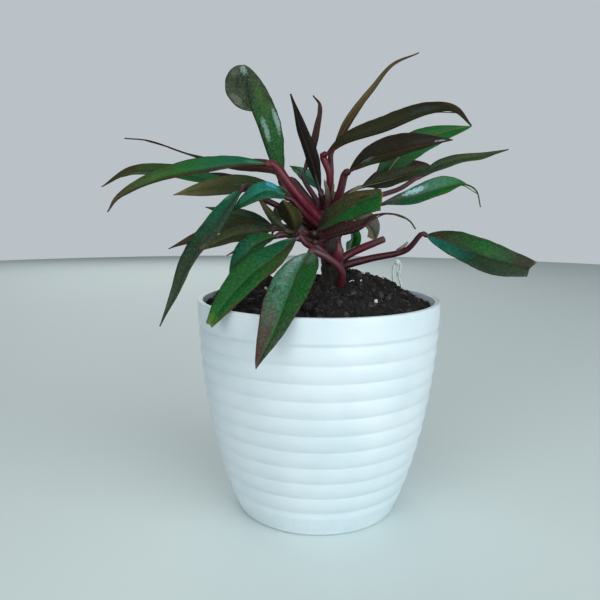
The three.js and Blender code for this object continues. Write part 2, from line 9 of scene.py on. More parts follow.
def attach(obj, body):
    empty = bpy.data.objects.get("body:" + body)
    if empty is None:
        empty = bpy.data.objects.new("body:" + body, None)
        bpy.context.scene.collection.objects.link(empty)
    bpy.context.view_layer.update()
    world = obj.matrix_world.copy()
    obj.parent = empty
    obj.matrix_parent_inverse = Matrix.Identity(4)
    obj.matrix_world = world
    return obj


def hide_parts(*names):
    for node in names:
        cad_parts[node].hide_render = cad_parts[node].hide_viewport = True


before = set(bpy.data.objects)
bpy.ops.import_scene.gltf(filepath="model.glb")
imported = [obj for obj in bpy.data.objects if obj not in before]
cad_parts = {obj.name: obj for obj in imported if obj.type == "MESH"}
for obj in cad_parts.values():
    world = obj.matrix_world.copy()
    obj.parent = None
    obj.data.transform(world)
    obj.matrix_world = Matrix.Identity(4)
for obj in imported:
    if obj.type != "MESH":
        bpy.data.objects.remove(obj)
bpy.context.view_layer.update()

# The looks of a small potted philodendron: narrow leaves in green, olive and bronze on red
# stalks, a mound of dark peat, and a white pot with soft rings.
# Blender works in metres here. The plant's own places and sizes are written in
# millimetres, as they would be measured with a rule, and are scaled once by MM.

MM = 0.001
BODY = "root"

# The camera stands where the photograph was taken from, in metres and radians
CAMERA_PLACE = (-0.0098, -0.3336, 0.1630)
CAMERA_DIP = math.radians(8.83)
CAMERA_ROLL = 0.007
# Its lens and its picture's width, in millimetres
CAMERA_LENS = 38.06
CAMERA_SENSOR = 36

# The pot
POT_HEIGHT = 113
RIM_RADIUS = 63.5
FOOT_RADIUS = 41.4
FLARE = 0.72
WALL = 2.3
FLOOR_THICKNESS = 3.4
LIP_ROUND = 0.8
FOOT_ROUND = 2.4
INNER_ROUND = 4
RING_COUNT = 10
RING_PITCH = 8.5
RING_START = 14.5
RING_DEPTH = 0.9
RING_BREADTH = 0.7
# The height over which the rings fade in at the foot and out at the rim
RING_FADES = (4, 2)

# The soil
SOIL_GAP = 0.5
SOIL_EDGE_GAP = 0.8
SOIL_WALL_LEVEL = 108
SOIL_DOME = 10
SOIL_HEAPS = [(14, 12, 12, 10), (37, 22, 8, 7), (-24, 20, 9, 6), (-49, 24, 8, 6)]
SOIL_WAVES = [(0.7, 0.31, 0.27), (0.5, 0.17, -0.41)]
SOIL_LEVELS = (8, 14, 20, 35, 50, 70, 90, 103)
# The mound's unevenness: how wide the lumps are, how high, and the noise's seed
SOIL_LUMPS = [(6, 1.1, 31), (2.2, 0.6, 32), (0.9, 0.3, 33)]

# The stem
STEM_POINTS = [(8, 1, 92), (7, 1, 134), (1, 2, 161)]
STEM_FOOT_RADIUS = 8.5
STEM_TOP_RADIUS = 5
# How often leaf scars ring the stem, and how far they stand out
SCAR_TURNS = 27
SCAR_HEIGHT = 0.45
# Where a stalk clasps the stem: how much thicker it is, and over what length
CLASP_SWELL = 0.35
CLASP_REACH = 5
# How far before the blade its stalk is already in line with the rib
STALK_LEAD = 2.4

# The leaves
BLADE_THICKNESS = 0.45
BLADE_EDGE_THICKNESS = 0.22
BLADE_BULGE = 0.08
WAVE_TURN = 15
BLADE_ROWS = 100
BLADE_COLUMNS = 13
VEIN_PITCH = 2.6
VEIN_SWEEP = 0.9
VEIN_RELIEF = 0.06
HAIR_PITCH = 0.62
PEBBLE_SIZE = 1.5
# The width that a half keeps beside the rib, at the base and at the tip
LEAST_WIDTHS = (0.42, 0.16)
# How uneven the edge is, and how far its outer part rolls down
EDGE_UNEVENNESS = 0.035
EDGE_ROLL = 0.25
EDGE_ROLL_START = 0.86
# The groove over the rib and the ridge under it: depth and reach
RIB_GROOVE = (0.28, 0.55)
RIB_RIDGE = (0.62, 0.8)
# Puckers come in two sizes
LARGE_PUCKER = 4.6
SMALL_PUCKER = 2.1
# The keel that a stalk runs out into: how far under the face it lies, and where it passes
KEEL_DROP = 0.55
KEEL_SHARES = (0.0, 0.12, 0.3, 0.5, 0.7, 0.88)
GLOSS_TONE = (0.8, 1.0, 0.9, 1)

# Colours, as they look by daylight
COLOURS = {
    "leaf_green": "#1a5c22",
    "deep_green": "#18341c",
    "bright_green": "#16600e",
    "blue_green": "#0a583e",
    # Teal, mint and pale mint are partly the leaves' own colours and partly painted sheen; sky teal is
    # a painted reflection of the sky
    "teal": "#04705c",
    "teal_sky_reflection": "#3f9ab8",
    "leaf_mint": "#2b7f40",
    "mint": "#488062",
    "pale_mint": "#6e967e",
    # Painted reflections of the sky and a painted highlight, for wet leaves
    "pale_sky_reflection": "#9fb8b4",
    "gloss_sky": "#a9d6da",
    "gloss_white": "#e2ebee",
    "slate": "#3c4a52",
    "grey_green": "#3a4834",
    "olive": "#3e4222",
    "dark_olive": "#2a2a16",
    "tan_olive": "#68623a",
    "yellow_green": "#4a6e22",
    "bronze": "#42301a",
    "dark_bronze": "#241a10",
    "brown": "#483020",
    "dark_brown": "#351c10",
    "rust": "#6e381a",
    "purple_brown": "#362222",
    "near_black": "#1a1210",
    "dry_tan": "#84704e",
    "dry_grey": "#6e6c60",
    "dry_white": "#b0ac9e",
    "crimson": "#5e0c22",
    "dark_crimson": "#3e0e1a",
    "maroon": "#40141e",
    "rose": "#6a3238",
    "pale_rose": "#8a5454",
    "mauve": "#56363a",
    "magenta": "#74143e",
    "soil_dark": "#0f0c0a",
    "soil_brown": "#1b1613",
    "soil_light": "#6a625c",
    "bark": "#2a1f18",
    "perlite": "#d8d6cf",
    "pot_white": "#e0edf4",
    "pot_shade": "#d2e2ea",
    "wire_white": "#e4ebe8",
    "floor_pale": "#dde8e5",
}


def colour(name):
    """One of the colours above as Blender counts it, in light and not as it looks."""
    channels = [int(COLOURS[name][i:i + 2], 16) / 255 for i in (1, 3, 5)]
    light = [c / 12.92 if c < 0.04045 else ((c + 0.055) / 1.055) ** 2.4 for c in channels]
    return (*light, 1)


# Node trees, written as plain sums

class Number:
    """A number in a node tree, which is reckoned with as in plain code."""

    def __init__(self, tree, socket):
        self.tree = tree
        self.socket = socket

    def reckon(self, operation, *others):
        node = self.tree.nodes.new("ShaderNodeMath")
        node.operation = operation
        for place, value in enumerate((self, *others)):
            feed(self.tree, node.inputs[place], value)
        return Number(self.tree, node.outputs[0])

    def __add__(self, other):
        return self.reckon("ADD", other)

    def __radd__(self, other):
        return self.reckon("ADD", other)

    def __sub__(self, other):
        return self.reckon("SUBTRACT", other)

    def __rsub__(self, other):
        return self.reckon("MULTIPLY", -1).reckon("ADD", other)

    def __mul__(self, other):
        return self.reckon("MULTIPLY", other)

    def __rmul__(self, other):
        return self.reckon("MULTIPLY", other)

    def __truediv__(self, other):
        return self.reckon("DIVIDE", other)

    def __rtruediv__(self, other):
        return self.reckon("POWER", -1).reckon("MULTIPLY", other)

    def __pow__(self, other):
        return self.reckon("MAXIMUM", 0).reckon("POWER", other)

    def sine(self):
        return self.reckon("SINE")

    def cosine(self):
        return self.reckon("COSINE")

    def size(self):
        return self.reckon("ABSOLUTE")

    def between(self, low, high, smooth=False):
        """0 up to low, 1 from high on, and a straight or smooth way between."""
        node = self.tree.nodes.new("ShaderNodeMapRange")
        node.interpolation_type = "SMOOTHSTEP" if smooth else "LINEAR"
        for name, value in (("Value", self), ("From Min", low), ("From Max", high)):
            feed(self.tree, node.inputs[name], value)
        return Number(self.tree, node.outputs["Result"])


def feed(tree, socket, value):
    """Gives a socket a value: another socket, a number in the tree, or a plain value."""
    if isinstance(value, Number):
        tree.links.new(value.socket, socket)
    elif isinstance(value, bpy.types.NodeSocket):
        tree.links.new(value, socket)
    else:
        socket.default_value = value


def add_node(tree, kind, inputs=None, **settings):
    node = tree.nodes.new(kind)
    for name, value in settings.items():
        setattr(node, name, value)
    for name, value in (inputs or {}).items():
        feed(tree, node.inputs[name], value)
    return node


# Materials

def new_finish(name, **sockets):
    """A material with one shader in it, and the shader's plain values."""
    material = bpy.data.materials.new(name)
    material.use_nodes = True
    tree = material.node_tree
    tree.nodes.clear()
    shader = tree.nodes.new("ShaderNodeBsdfPrincipled")
    for socket, value in sockets.items():
        shader.inputs[socket.replace("_", " ").title()].default_value = value
    output = tree.nodes.new("ShaderNodeOutputMaterial")
    tree.links.new(shader.outputs["BSDF"], output.inputs["Surface"])
    return material, tree, shader


def object_place(tree, stretch=(1, 1, 1)):
    """A point of the piece in its own metres, with a pattern's stretch along each axis."""
    place = tree.nodes.new("ShaderNodeTexCoord").outputs["Object"]
    if stretch == (1, 1, 1):
        return place
    mapping = add_node(tree, "ShaderNodeMapping", {"Vector": place, "Scale": stretch})
    return mapping.outputs["Vector"]


def attribute(tree, name, output="Fac"):
    node = add_node(tree, "ShaderNodeAttribute", attribute_name=name)
    if output == "Fac":
        return Number(tree, node.outputs["Fac"])
    return node.outputs[output]


def clouds(tree, place, size, detail=2.0, rough=0.5, **settings):
    """Soft noise whose patches measure about size millimetres."""
    inputs = {"Vector": place, "Scale": 1 / (size * MM), "Detail": detail, "Roughness": rough}
    node = add_node(tree, "ShaderNodeTexNoise", inputs, **settings)
    return Number(tree, node.outputs["Fac"])


def cells(tree, place, size, feature="F1"):
    inputs = {"Vector": place, "Scale": 1 / (size * MM)}
    node = add_node(tree, "ShaderNodeTexVoronoi", inputs, feature=feature)
    return Number(tree, node.outputs["Distance"])


def tint(tree, share, first, second, blend="MIX"):
    """First where share is 0 and second where it is 1."""
    node = add_node(tree, "ShaderNodeMix", data_type="RGBA", blend_type=blend)
    feed(tree, node.inputs["Factor"], share)
    sockets = [s for s in node.inputs if s.type == "RGBA"]
    for socket, value in zip(sockets, (first, second)):
        feed(tree, socket, colour(value) if isinstance(value, str) else value)
    return next(s for s in node.outputs if s.type == "RGBA")


def drawn_to(tree, share, face, strength, name):
    """Face, drawn towards a named colour by strength, where share is 1."""
    return tint(tree, share, face, tint(tree, strength, face, name))


def ramp(tree, share, stops):
    """A run of named colours along a number, as (where, colour)."""
    node = add_node(tree, "ShaderNodeValToRGB", {"Fac": share})
    marks = node.color_ramp.elements
    while len(marks) < len(stops):
        marks.new(1)
    for mark, (where, name) in zip(marks, stops):
        mark.position = where
        mark.color = colour(name)
    return node.outputs["Color"]


def give(tree, shader, face, roughness, height, depth):
    """Gives a shader its colour, its roughness and a bump that is depth millimetres deep."""
    bump = add_node(tree, "ShaderNodeBump", {"Height": height, "Distance": depth * MM})
    feed(tree, shader.inputs["Base Color"], face)
    feed(tree, shader.inputs["Roughness"], roughness)
    feed(tree, shader.inputs["Normal"], bump.outputs["Normal"])


# Lines and skins, in millimetres

def unit(vectors):
    return vectors / np.linalg.norm(vectors, axis=-1, keepdims=True)


class Path:
    """A smooth line through given points, measured by its own length."""

    STEPS = 60

    def __init__(self, points):
        points = np.array(points, float)
        ends = 2 * points[0] - points[1], 2 * points[-1] - points[-2]
        held = np.vstack([ends[0], points, ends[1]])
        line = [points[0]]
        for place in range(len(points) - 1):
            line.extend(self.piece(held[place:place + 4]))
        self.line = np.array(line)
        steps = np.linalg.norm(np.diff(self.line, axis=0), axis=1)
        self.lengths = np.concatenate([[0], np.cumsum(steps)])
        self.length = self.lengths[-1]

    def piece(self, four):
        """The stretch between the middle two of four points, less its first point."""
        before, start, end, after = four
        gaps = np.linalg.norm(np.diff(four, axis=0), axis=1) ** 0.5
        first, middle, last = gaps
        leave = (start - before) / first - (end - before) / (first + middle)
        leave = (leave + (end - start) / middle) * middle
        arrive = (end - start) / middle - (after - start) / (middle + last)
        arrive = (arrive + (after - end) / last) * middle
        t = np.linspace(0, 1, self.STEPS + 1)[1:, None]
        cubic = 2 * start - 2 * end + leave + arrive
        square = -3 * start + 3 * end - 2 * leave - arrive
        return start + leave * t + square * t ** 2 + cubic * t ** 3

    def at(self, shares):
        """Points at shares of the whole length, from 0 to 1."""
        where = np.asarray(shares) * self.length
        return np.stack([np.interp(where, self.lengths, self.line[:, i]) for i in range(3)], -1)

    def heading(self, shares):
        shares = np.asarray(shares, float)
        small = 0.004
        ahead = self.at(np.minimum(shares + small, 1))
        return unit(ahead - self.at(np.maximum(shares - small, 0)))


class Skin:
    """Points and faces gathered from several forms, with what each point carries."""

    def __init__(self):
        self.points = []
        self.faces = []
        self.carried = {}
        self.count = 0

    def add_rings(self, rings, **carried):
        """Joins rings of points into a closed form with a flat cap on each end."""
        rows, sides, _ = rings.shape
        numbers = np.arange(rows * sides).reshape(rows, sides) + self.count
        after = np.roll(numbers, -1, axis=1)
        quads = np.stack([numbers[:-1], after[:-1], after[1:], numbers[1:]], -1)
        self.faces.extend(quads.reshape(-1, 4).tolist())
        self.faces.append(numbers[0][::-1].tolist())
        self.faces.append(numbers[-1].tolist())
        self.points.append(rings.reshape(-1, 3))
        self.count += rows * sides
        for name, values in carried.items():
            values = np.asarray(values, float)
            self.carried.setdefault(name, []).append(values.reshape(rows * sides, -1))

    def piece(self, name, material, slot, *nodes):
        """Makes the gathered skin a piece of the plant, in metres."""
        mesh = bpy.data.meshes.new(name)
        mesh.from_pydata((np.vstack(self.points) * MM).tolist(), [], self.faces)
        for label, values in self.carried.items():
            values = np.vstack(values).astype(np.float32)
            if values.shape[1] == 1:
                layer = mesh.attributes.new(label, "FLOAT", "POINT")
                layer.data.foreach_set("value", values.ravel())
            else:
                layer = mesh.attributes.new(label, "FLOAT_COLOR", "POINT")
                layer.data.foreach_set("color", values.ravel())
        mesh.shade_smooth()
        mesh.update()
        return as_piece(mesh, name, material, slot, *nodes)


def as_piece(mesh, name, material, slot, *nodes):
    """Puts a finished mesh in the scene, on the body, in place of its plain solids."""
    mesh.materials.clear()
    mesh.materials.append(material)
    piece = bpy.data.objects.new(name, mesh)
    bpy.context.scene.collection.objects.link(piece)
    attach(piece, BODY)
    if nodes:
        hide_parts(*nodes)
    return piece


def rings_along(points, radius_at, sides, rows, looks=(0, 0, 1), groove=0.0):
    """Rings of a round bar along a smooth line, with a groove on the side it looks to."""
    path = Path(points)
    shares = np.linspace(0, 1, rows)
    heading = path.heading(shares)
    top = np.array(looks, float)
    tops = []
    for direction in heading:
        top = unit(top - direction * (top @ direction))
        tops.append(top)
    tops = np.array(tops)
    beside = np.cross(heading, tops)
    turns = np.linspace(0, 2 * math.pi, sides, endpoint=False)
    dip = 1 - groove * np.exp(-((np.angle(np.exp(1j * turns))) / 0.6) ** 2)
    radii = np.array([radius_at(share) for share in shares])[:, None] * dip[None]
    out = tops[:, None] * np.cos(turns)[None, :, None] + beside[:, None] * np.sin(turns)[None, :, None]
    return path.at(shares)[:, None] + out * radii[..., None]


def rough(points, size, seed=0.0):
    """Smooth noise from -1 to 1 at each point, with lumps about size millimetres wide."""
    shift = Vector((seed * 7.3, seed * 3.1, seed * 5.7))
    flat = points.reshape(-1, 3) / size
    values = [noise.noise(Vector(p) + shift) for p in flat]
    return np.array(values).reshape(points.shape[:-1])


def mix(first, second, share):
    return first + (second - first) * share


def pushed_out(rings, lumps):
    """Rings of points moved away from their middles by so many millimetres."""
    return rings + lumps[..., None] * unit(rings - rings.mean(1, keepdims=True))


# The leaves

def half(wide, widest=0.38, base=0.8, tip=1.1, start=0.0):
    """One half of a blade: its greatest width, where that is, how blunt (low) or drawn out
    (high) its base and tip are, and where it starts if the part below is torn off."""
    return wide, widest, base, tip, start


def leaf(height, stalk, thick, rib, left, right, looks, fold, wave, tints, stalk_tints,
         tip_looks=None, cut=1.0, thread=0.0, ends=(0, 0, 0), blister=0.1, shine=0.3,
         rib_tint="grey_green", under="maroon", patches=0.0, veins=1.0, marks=()):
    """A leaf. It leaves the stem at a height, runs along its stalk's points, and its blade
    follows the rib's points. Left and right are seen from base to tip, upper face up.
    looks and tip_looks are where the upper face points; fold is how far each half stands up
    from flat, in degrees; wave is how far its edge waves. cut is the share of the blade left
    where its end was cut off, and ends how much shorter the left edge, the rib and the right
    edge are there; thread is the share that is a fine drip tip. tints are the left half's
    and the right half's colours from base to tip, and on some leaves they hold a painted sheen.
    blister is how deep its face is puckered, and how strongly painted shade lies in its dents and
    painted highlights on its crests; shine is how wet it looks, patches how much pale painted
    sheen lies on it and veins how far they show. A mark is a ragged spot: its colour, its place
    along and across the blade, how far it reaches along and across, and how strong it is. Most
    marks are the leaf's own spots and tints; some are painted reflections of the sky and
    painted sheen."""
    return dict(
        height=height, stalk=stalk, thick=thick, rib=rib, left=left, right=right, looks=looks,
        tip_looks=tip_looks or looks, fold=fold, wave=wave, cut=cut, thread=thread, ends=ends,
        tints=tints, stalk_tints=stalk_tints, rib_tint=rib_tint, under=under, blister=blister,
        shine=shine, patches=patches, veins=veins, marks=marks)


LEAVES = {
    "upper_torn_leaf": leaf(
        152, [(-8, 10, 165)], (2, 1.4),
        [(-21, 15, 174), (-27, 20, 187), (-32, 25, 201), (-38, 30, 216), (-42, 35, 238)],
        half(13, 0.8, 0.4, 0.45, 0.62), half(12.5, 0.6, 0.6, 0.7),
        (0.3, -1, 0.2), 16, 0.6,
        ("olive grey_green grey_green", "leaf_green leaf_green grey_green"),
        ("dark_crimson", "near_black"), tip_looks=(0.2, -1, 0.3),
        blister=0.32, shine=0.55, rib_tint="near_black", patches=0.55,
        marks=(
            ("dry_grey", (0.71, -0.78), (0.06, 0.3), 0.6),
            ("near_black", (0.86, -0.45), (0.07, 0.16), 0.75),
            ("dry_grey", (0.93, -0.6), (0.05, 0.4), 0.4),
            # Painted reflections of the sky on the wet blade
            ("pale_sky_reflection", (0.96, -0.05), (0.05, 0.45), 0.7),
            ("pale_sky_reflection", (0.42, 0.25), (0.12, 0.13), 0.6),
            ("pale_sky_reflection", (0.48, 0.85), (0.13, 0.13), 0.65),
            ("yellow_green", (0.7, 0.5), (0.18, 0.3), 0.35))),
    "upper_dark_leaf": leaf(
        156, [], (2.4, 1.5),
        [(0, -7, 168), (-5, -10, 184), (-10, -11, 198), (-15, -11, 215)],
        half(5.5), half(5), (0.2, 1, 0.2), 52, 0.2,
        ("near_black near_black near_black", "near_black near_black dark_bronze"),
        ("dark_crimson", "near_black"), rib_tint="near_black", under="near_black",
        veins=0.05, shine=0.15),
    "upper_curled_leaf": leaf(
        155, [(-1, 8, 163)], (2, 1.3),
        [(-8, 12, 178), (-5, 13, 190), (-2, 14, 203), (0, 15, 213.5), (-3.5, 14, 218.5)],
        half(3), half(3), (0.8, 0.6, 0.2), 50, 0.2,
        ("purple_brown purple_brown brown", "near_black purple_brown brown"),
        ("crimson", "purple_brown"), rib_tint="brown", under="purple_brown", veins=0.1),
    "upper_tall_leaf": leaf(
        154, [(6, 8, 176)], (2.2, 1.5),
        [(7, 8, 190), (16, 12, 206), (28, 18, 222), (39, 24, 236), (54, 30, 244)],
        half(3.6, 0.25), half(2.6, 0.25), (0, 1, 0.2), 32, 0.2,
        ("dark_olive bronze bronze", "olive tan_olive brown"),
        ("crimson", "maroon"), tip_looks=(-1, 0.2, 0.8), rib_tint="bronze", under="brown", veins=0.3),
    "right_top_leaf": leaf(
        155, [(5, -5, 176)], (2.4, 1.8),
        [(3, -8, 187), (12, -15, 192), (30, -23, 197), (49, -31, 204), (59, -38, 204),
         (66, -43, 197)],
        half(6.5, 0.4), half(6.5, 0.45), (-0.2, 0.7, 0.7), 45, 0.3,
        ("dark_olive olive bronze", "dark_olive dark_olive dark_bronze"),
        ("crimson", "crimson"), rib_tint="dark_olive", under="dark_olive", veins=0.1,
        marks=(
            ("slate", (0.68, 0.4), (0.12, 0.3), 0.5),
            ("rust", (0.83, 0.78), (0.07, 0.2), 0.7))),
    "right_bronze_leaf": leaf(
        150, [(10, -10, 168)], (2.6, 1.9),
        [(14, -16, 178), (23, -23, 183), (38, -32, 187), (58, -42, 191)],
        half(6, 0.25, tip=1.5), half(8, 0.5), (-0.1, 0.9, 0.5), 30, 0.3,
        ("yellow_green olive bronze", "dark_bronze dark_bronze purple_brown"),
        ("crimson", "maroon"), shine=0.6, rib_tint="bronze", under="dark_bronze", veins=0.05,
        marks=(
            # A painted highlight near the tip and a painted reflection of the sky near the base
            ("gloss_white", (0.9, 0.25), (0.07, 0.2), 0.95),
            ("pale_sky_reflection", (0.22, 0.08), (0.09, 0.1), 0.55))),
    "right_back_green_leaf": leaf(
        152, [(20, 16, 164)], (2, 1.4),
        [(32, 22, 170), (38, 24, 179), (44, 27, 187), (54, 31, 195), (69, 38, 202),
         (89, 45, 207)],
        half(8, 0.3, 0.5), half(7.5, 0.45, tip=0.75), (0.4, -1, 0.3), 12, 0.4,
        ("deep_green leaf_green leaf_green", "deep_green leaf_green leaf_green"),
        ("maroon", "olive"), tip_looks=(0, -1, 0.5), rib_tint="tan_olive",
        marks=(("yellow_green", (0.93, -0.2), (0.08, 0.6), 0.5),)),
    "right_long_leaf": leaf(
        148, [(20, 1, 162), (42, 3, 170)], (2, 1.2),
        [(53, 5, 176.5), (69, 8, 183.5), (86, 13, 187), (103, 20, 192)],
        half(4, 0.25), half(3.6, 0.35), (0, -0.8, 0.7), 30, 0.3,
        ("deep_green olive olive", "grey_green leaf_green grey_green"),
        ("maroon", "maroon"), rib_tint="grey_green"),
    "right_olive_leaf": leaf(
        150, [(14, 9, 164)], (1.6, 1),
        [(23, 12, 171), (37, 15, 174.5), (54, 19, 179.5), (66, 22, 183)],
        half(5.5, 0.35), half(5.5, 0.35), (0, -0.9, 0.6), 20, 0.4,
        ("dark_olive dark_olive olive", "near_black dark_olive grey_green"),
        ("tan_olive", "tan_olive"), rib_tint="olive"),
    "right_back_tip_leaf": leaf(
        150, [(10, 18, 163)], (1.8, 1.2),
        [(25, 33, 172), (44, 44, 181), (67, 52, 185)],
        half(6, 0.7, tip=0.7), half(5), (0, -0.6, 0.8), 20, 0.3,
        ("dark_olive brown purple_brown", "dark_olive brown purple_brown"),
        ("maroon", "maroon")),
    "right_bright_leaf": leaf(
        144, [(16, -2, 157)], (2.2, 1.4),
        [(31, -5, 162), (45, -10, 165), (60, -14, 170), (71, -17, 172), (76, -19, 169),
         (78, -21, 161)],
        half(6.5, 0.7), half(6.5, 0.6), (0, -0.8, 0.7), 20, 0.3,
        # The left half's grey-green and mint are painted sheen over its green
        ("grey_green mint bright_green", "blue_green bright_green bright_green"),
        ("maroon", "maroon"), thread=0.24, blister=0.16, shine=0.7, rib_tint="leaf_green",
        marks=(
            # A painted reflection of the sky
            ("gloss_sky", (0.3, -0.55), (0.14, 0.35), 0.85),
            ("dry_grey", (0.08, 0.0), (0.12, 0.9), 0.6))),
    "right_near_leaf": leaf(
        146, [], (2.6, 1.9),
        [(-2, -12, 148), (7, -20, 156), (18, -27, 163), (29, -32, 167)],
        half(7.5, 0.3), half(10.5, 0.8), (-0.3, -0.8, 0.8), 12, 0.3,
        ("dark_olive olive olive", "grey_green leaf_green leaf_green"),
        ("maroon", "purple_brown"), tip_looks=(-0.2, -0.8, 0.55), cut=0.84,
        ends=(0.02, 0, 0.03), blister=0.2, shine=0.45, rib_tint="olive",
        marks=(
            ("dry_grey", (0.63, 0.15), (0.05, 0.15), 0.5),
            ("dark_bronze", (0.77, -0.25), (0.08, 0.13), 0.9),
            ("rust", (0.7, -0.55), (0.12, 0.12), 0.5))),
    "right_brown_leaf": leaf(
        130, [(4, -9, 135)], (2.4, 1.6),
        [(-1, -11, 143), (8, -18, 147), (20, -20, 151), (28, -19, 157), (38, -19, 157),
         (44, -19, 154), (47, -19, 150)],
        half(5, 0.4), half(5, 0.4), (0, 0.8, 0.6), 35, 0.2,
        ("purple_brown purple_brown yellow_green", "maroon brown yellow_green"),
        ("maroon", "mauve"), thread=0.36, rib_tint="maroon", under="purple_brown"),
    "right_far_leaf": leaf(
        142, [(12, 16, 151)], (2, 1.3),
        [(18, 30, 154), (26, 42, 152.5), (33, 52, 147), (36.5, 58, 139)],
        half(7, 0.6), half(7, 0.6), (0.2, -0.8, 0.6), 20, 0.6,
        ("grey_green dry_grey dry_grey", "grey_green dry_grey dry_tan"),
        ("maroon", "olive"), tip_looks=(0.1, -1, 0.1), shine=0.1),
    "right_hanging_leaf": leaf(
        136, [(12, 12, 146)], (2, 1.3),
        [(17, 18, 149), (20, 24, 143), (17, 28, 130)],
        half(4.5), half(4.5), (0.2, -1, 0.5), 20, 0.3,
        ("leaf_green bright_green olive", "mint pale_mint mint"),
        ("maroon", "olive"), shine=0.5),
    "right_low_leaf": leaf(
        126, [(14, -1, 130), (27, -4, 134), (44, -11, 139)], (2.6, 1.3),
        [(53, -18, 147), (66, -23, 143), (81, -28, 137), (102, -34, 132)],
        half(9.5, 0.4, 0.6), half(11.5, 0.45, 0.6), (0.2, -0.9, 0.8), 10, 0.3,
        ("dark_olive leaf_green grey_green", "teal deep_green grey_green"),
        ("maroon", "maroon"), cut=0.82, ends=(0, 0.05, 0.06), blister=0.22, shine=0.45,
        rib_tint="deep_green", patches=0.25,
        marks=(
            ("teal", (0.06, 0.7), (0.08, 0.35), 0.8),
            ("purple_brown", (0.9, -0.3), (0.12, 0.8), 0.6),
            ("purple_brown", (0.98, 0.3), (0.03, 0.9), 0.6))),
    "left_long_leaf": leaf(
        148, [(-13, -13, 168)], (5, 2),
        [(-26, -18, 181), (-41, -24, 180), (-62, -31, 176), (-80, -36, 171),
         (-93, -41, 164), (-97, -45, 158)],
        half(6, 0.2, tip=1.3), half(6.5, 0.4), (0, -0.66, 0.75), 28, 0.3,
        ("purple_brown brown bronze", "blue_green leaf_green bronze"),
        ("crimson", "crimson"), shine=0.5, rib_tint="leaf_green",
        marks=(
            # A painted sheen near the base
            ("mint", (0.08, 0.4), (0.08, 0.3), 0.6),
            ("yellow_green", (0.62, 0.3), (0.16, 0.3), 0.3))),
    "left_high_leaf": leaf(
        152, [(-8, 3, 167)], (2.6, 1.6),
        [(-16, 6, 175), (-27, 9, 180), (-51, 18, 182.5), (-76, 30, 190), (-97, 40, 197),
         (-113, 48, 199)],
        half(4.5, 0.15, tip=1.6), half(5, 0.25, tip=1.6), (0.1, 0.9, 0.6), 30, 0.2,
        ("rust bronze near_black", "rust deep_green near_black"),
        ("maroon", "near_black"), thread=0.36, rib_tint="near_black", under="dark_brown"),
    "left_back_leaf": leaf(
        148, [(-8, 15, 161)], (2, 1.4),
        [(-30, 26, 169), (-59, 33, 174), (-88, 39, 179), (-109, 42, 179), (-127, 45, 171)],
        half(6, 0.6), half(6, 0.6), (0, -0.7, 0.8), 20, 0.3,
        ("leaf_green leaf_green olive", "blue_green leaf_green bronze"),
        ("maroon", "olive"), rib_tint="deep_green"),
    "left_olive_leaf": leaf(
        147, [(-8, 4, 160)], (2, 1.4),
        [(-22, 4, 170), (-36, 1, 172), (-54, -2, 170), (-75, -5, 166)],
        half(7, 0.5), half(5.5, 0.5), (0, -0.9, 0.6), 15, 0.3,
        ("deep_green olive tan_olive", "deep_green olive tan_olive"),
        ("maroon", "olive"), rib_tint="olive", patches=0.15,
        marks=(("dry_tan", (0.95, 0.0), (0.08, 0.9), 0.5),)),
    "left_thin_leaf": leaf(
        148, [(-8, 22, 160)], (1.8, 1.2),
        [(-26, 42, 171), (-52, 51, 177), (-81, 60, 179)],
        half(5), half(5), (0, 0.2, 1), 14, 0.2,
        ("deep_green deep_green olive", "deep_green deep_green olive"),
        ("maroon", "olive")),
    "left_drooping_leaf": leaf(
        144, [(-22, -8, 161), (-31, -14, 165)], (2.2, 1.4),
        [(-39, -22, 168), (-50, -36, 151), (-60, -47, 136), (-66, -54, 121), (-72, -58, 108)],
        half(6, 0.3), half(6, 0.3, 0.5), (-0.4, -0.8, 0.4), 22, 0.3,
        ("blue_green grey_green grey_green", "blue_green deep_green grey_green"),
        ("maroon", "maroon"), blister=0.24, shine=0.45, rib_tint="grey_green",
        marks=(
            ("mint", (0.07, 0.75), (0.06, 0.3), 0.6),
            ("dry_tan", (0.48, -0.55), (0.04, 0.3), 0.4))),
    "left_teal_leaf": leaf(
        146, [(-6, -12, 155)], (2.2, 1.5),
        [(-17, -20, 165), (-26, -25, 168), (-35, -27, 164), (-43, -26, 158)],
        half(6), half(5.5), (0, -0.8, 0.7), 15, 0.3,
        # Its teal is partly its own colour and partly a painted reflection of the sky
        ("blue_green blue_green leaf_green", "teal teal blue_green"),
        ("crimson", "maroon"), blister=0.2, shine=0.8, rib_tint="teal",
        marks=(
            # A painted reflection of the sky
            ("teal_sky_reflection", (0.28, 0.65), (0.1, 0.35), 0.8),
            ("grey_green", (0.85, 0.0), (0.2, 0.9), 0.45))),
    "left_grey_leaf": leaf(
        141, [(-8, -2, 148)], (2, 1.4),
        [(-25, -1, 151), (-38, -2, 154), (-58, -8, 160)],
        half(5), half(4.5), (0, -0.9, 0.6), 20, 0.3,
        ("grey_green olive leaf_green", "deep_green grey_green leaf_green"),
        ("maroon", "purple_brown")),
    "left_low_back_leaf": leaf(
        140, [(-9, 9, 146)], (2, 1.3),
        [(-29, 17, 149), (-49, 21, 150), (-67, 25, 143), (-85, 28, 136)],
        half(5), half(5), (0, -0.8, 0.6), 20, 0.3,
        ("dark_olive grey_green brown", "dark_olive grey_green brown"),
        ("maroon", "olive")),
    "left_low_leaf": leaf(
        139, [(-10, -5, 145)], (2.2, 1.4),
        [(-24, -11, 149), (-43, -17, 146), (-59, -24, 139)],
        half(6), half(5), (0, -0.8, 0.7), 15, 0.3,
        ("olive olive olive", "grey_green olive olive"),
        ("mauve", "mauve"), blister=0.15, patches=0.2,
        marks=(("dry_tan", (0.96, 0.0), (0.1, 0.9), 0.6),)),
    "left_tail_leaf": leaf(
        136, [(-4, 15, 141)], (1.8, 1.2),
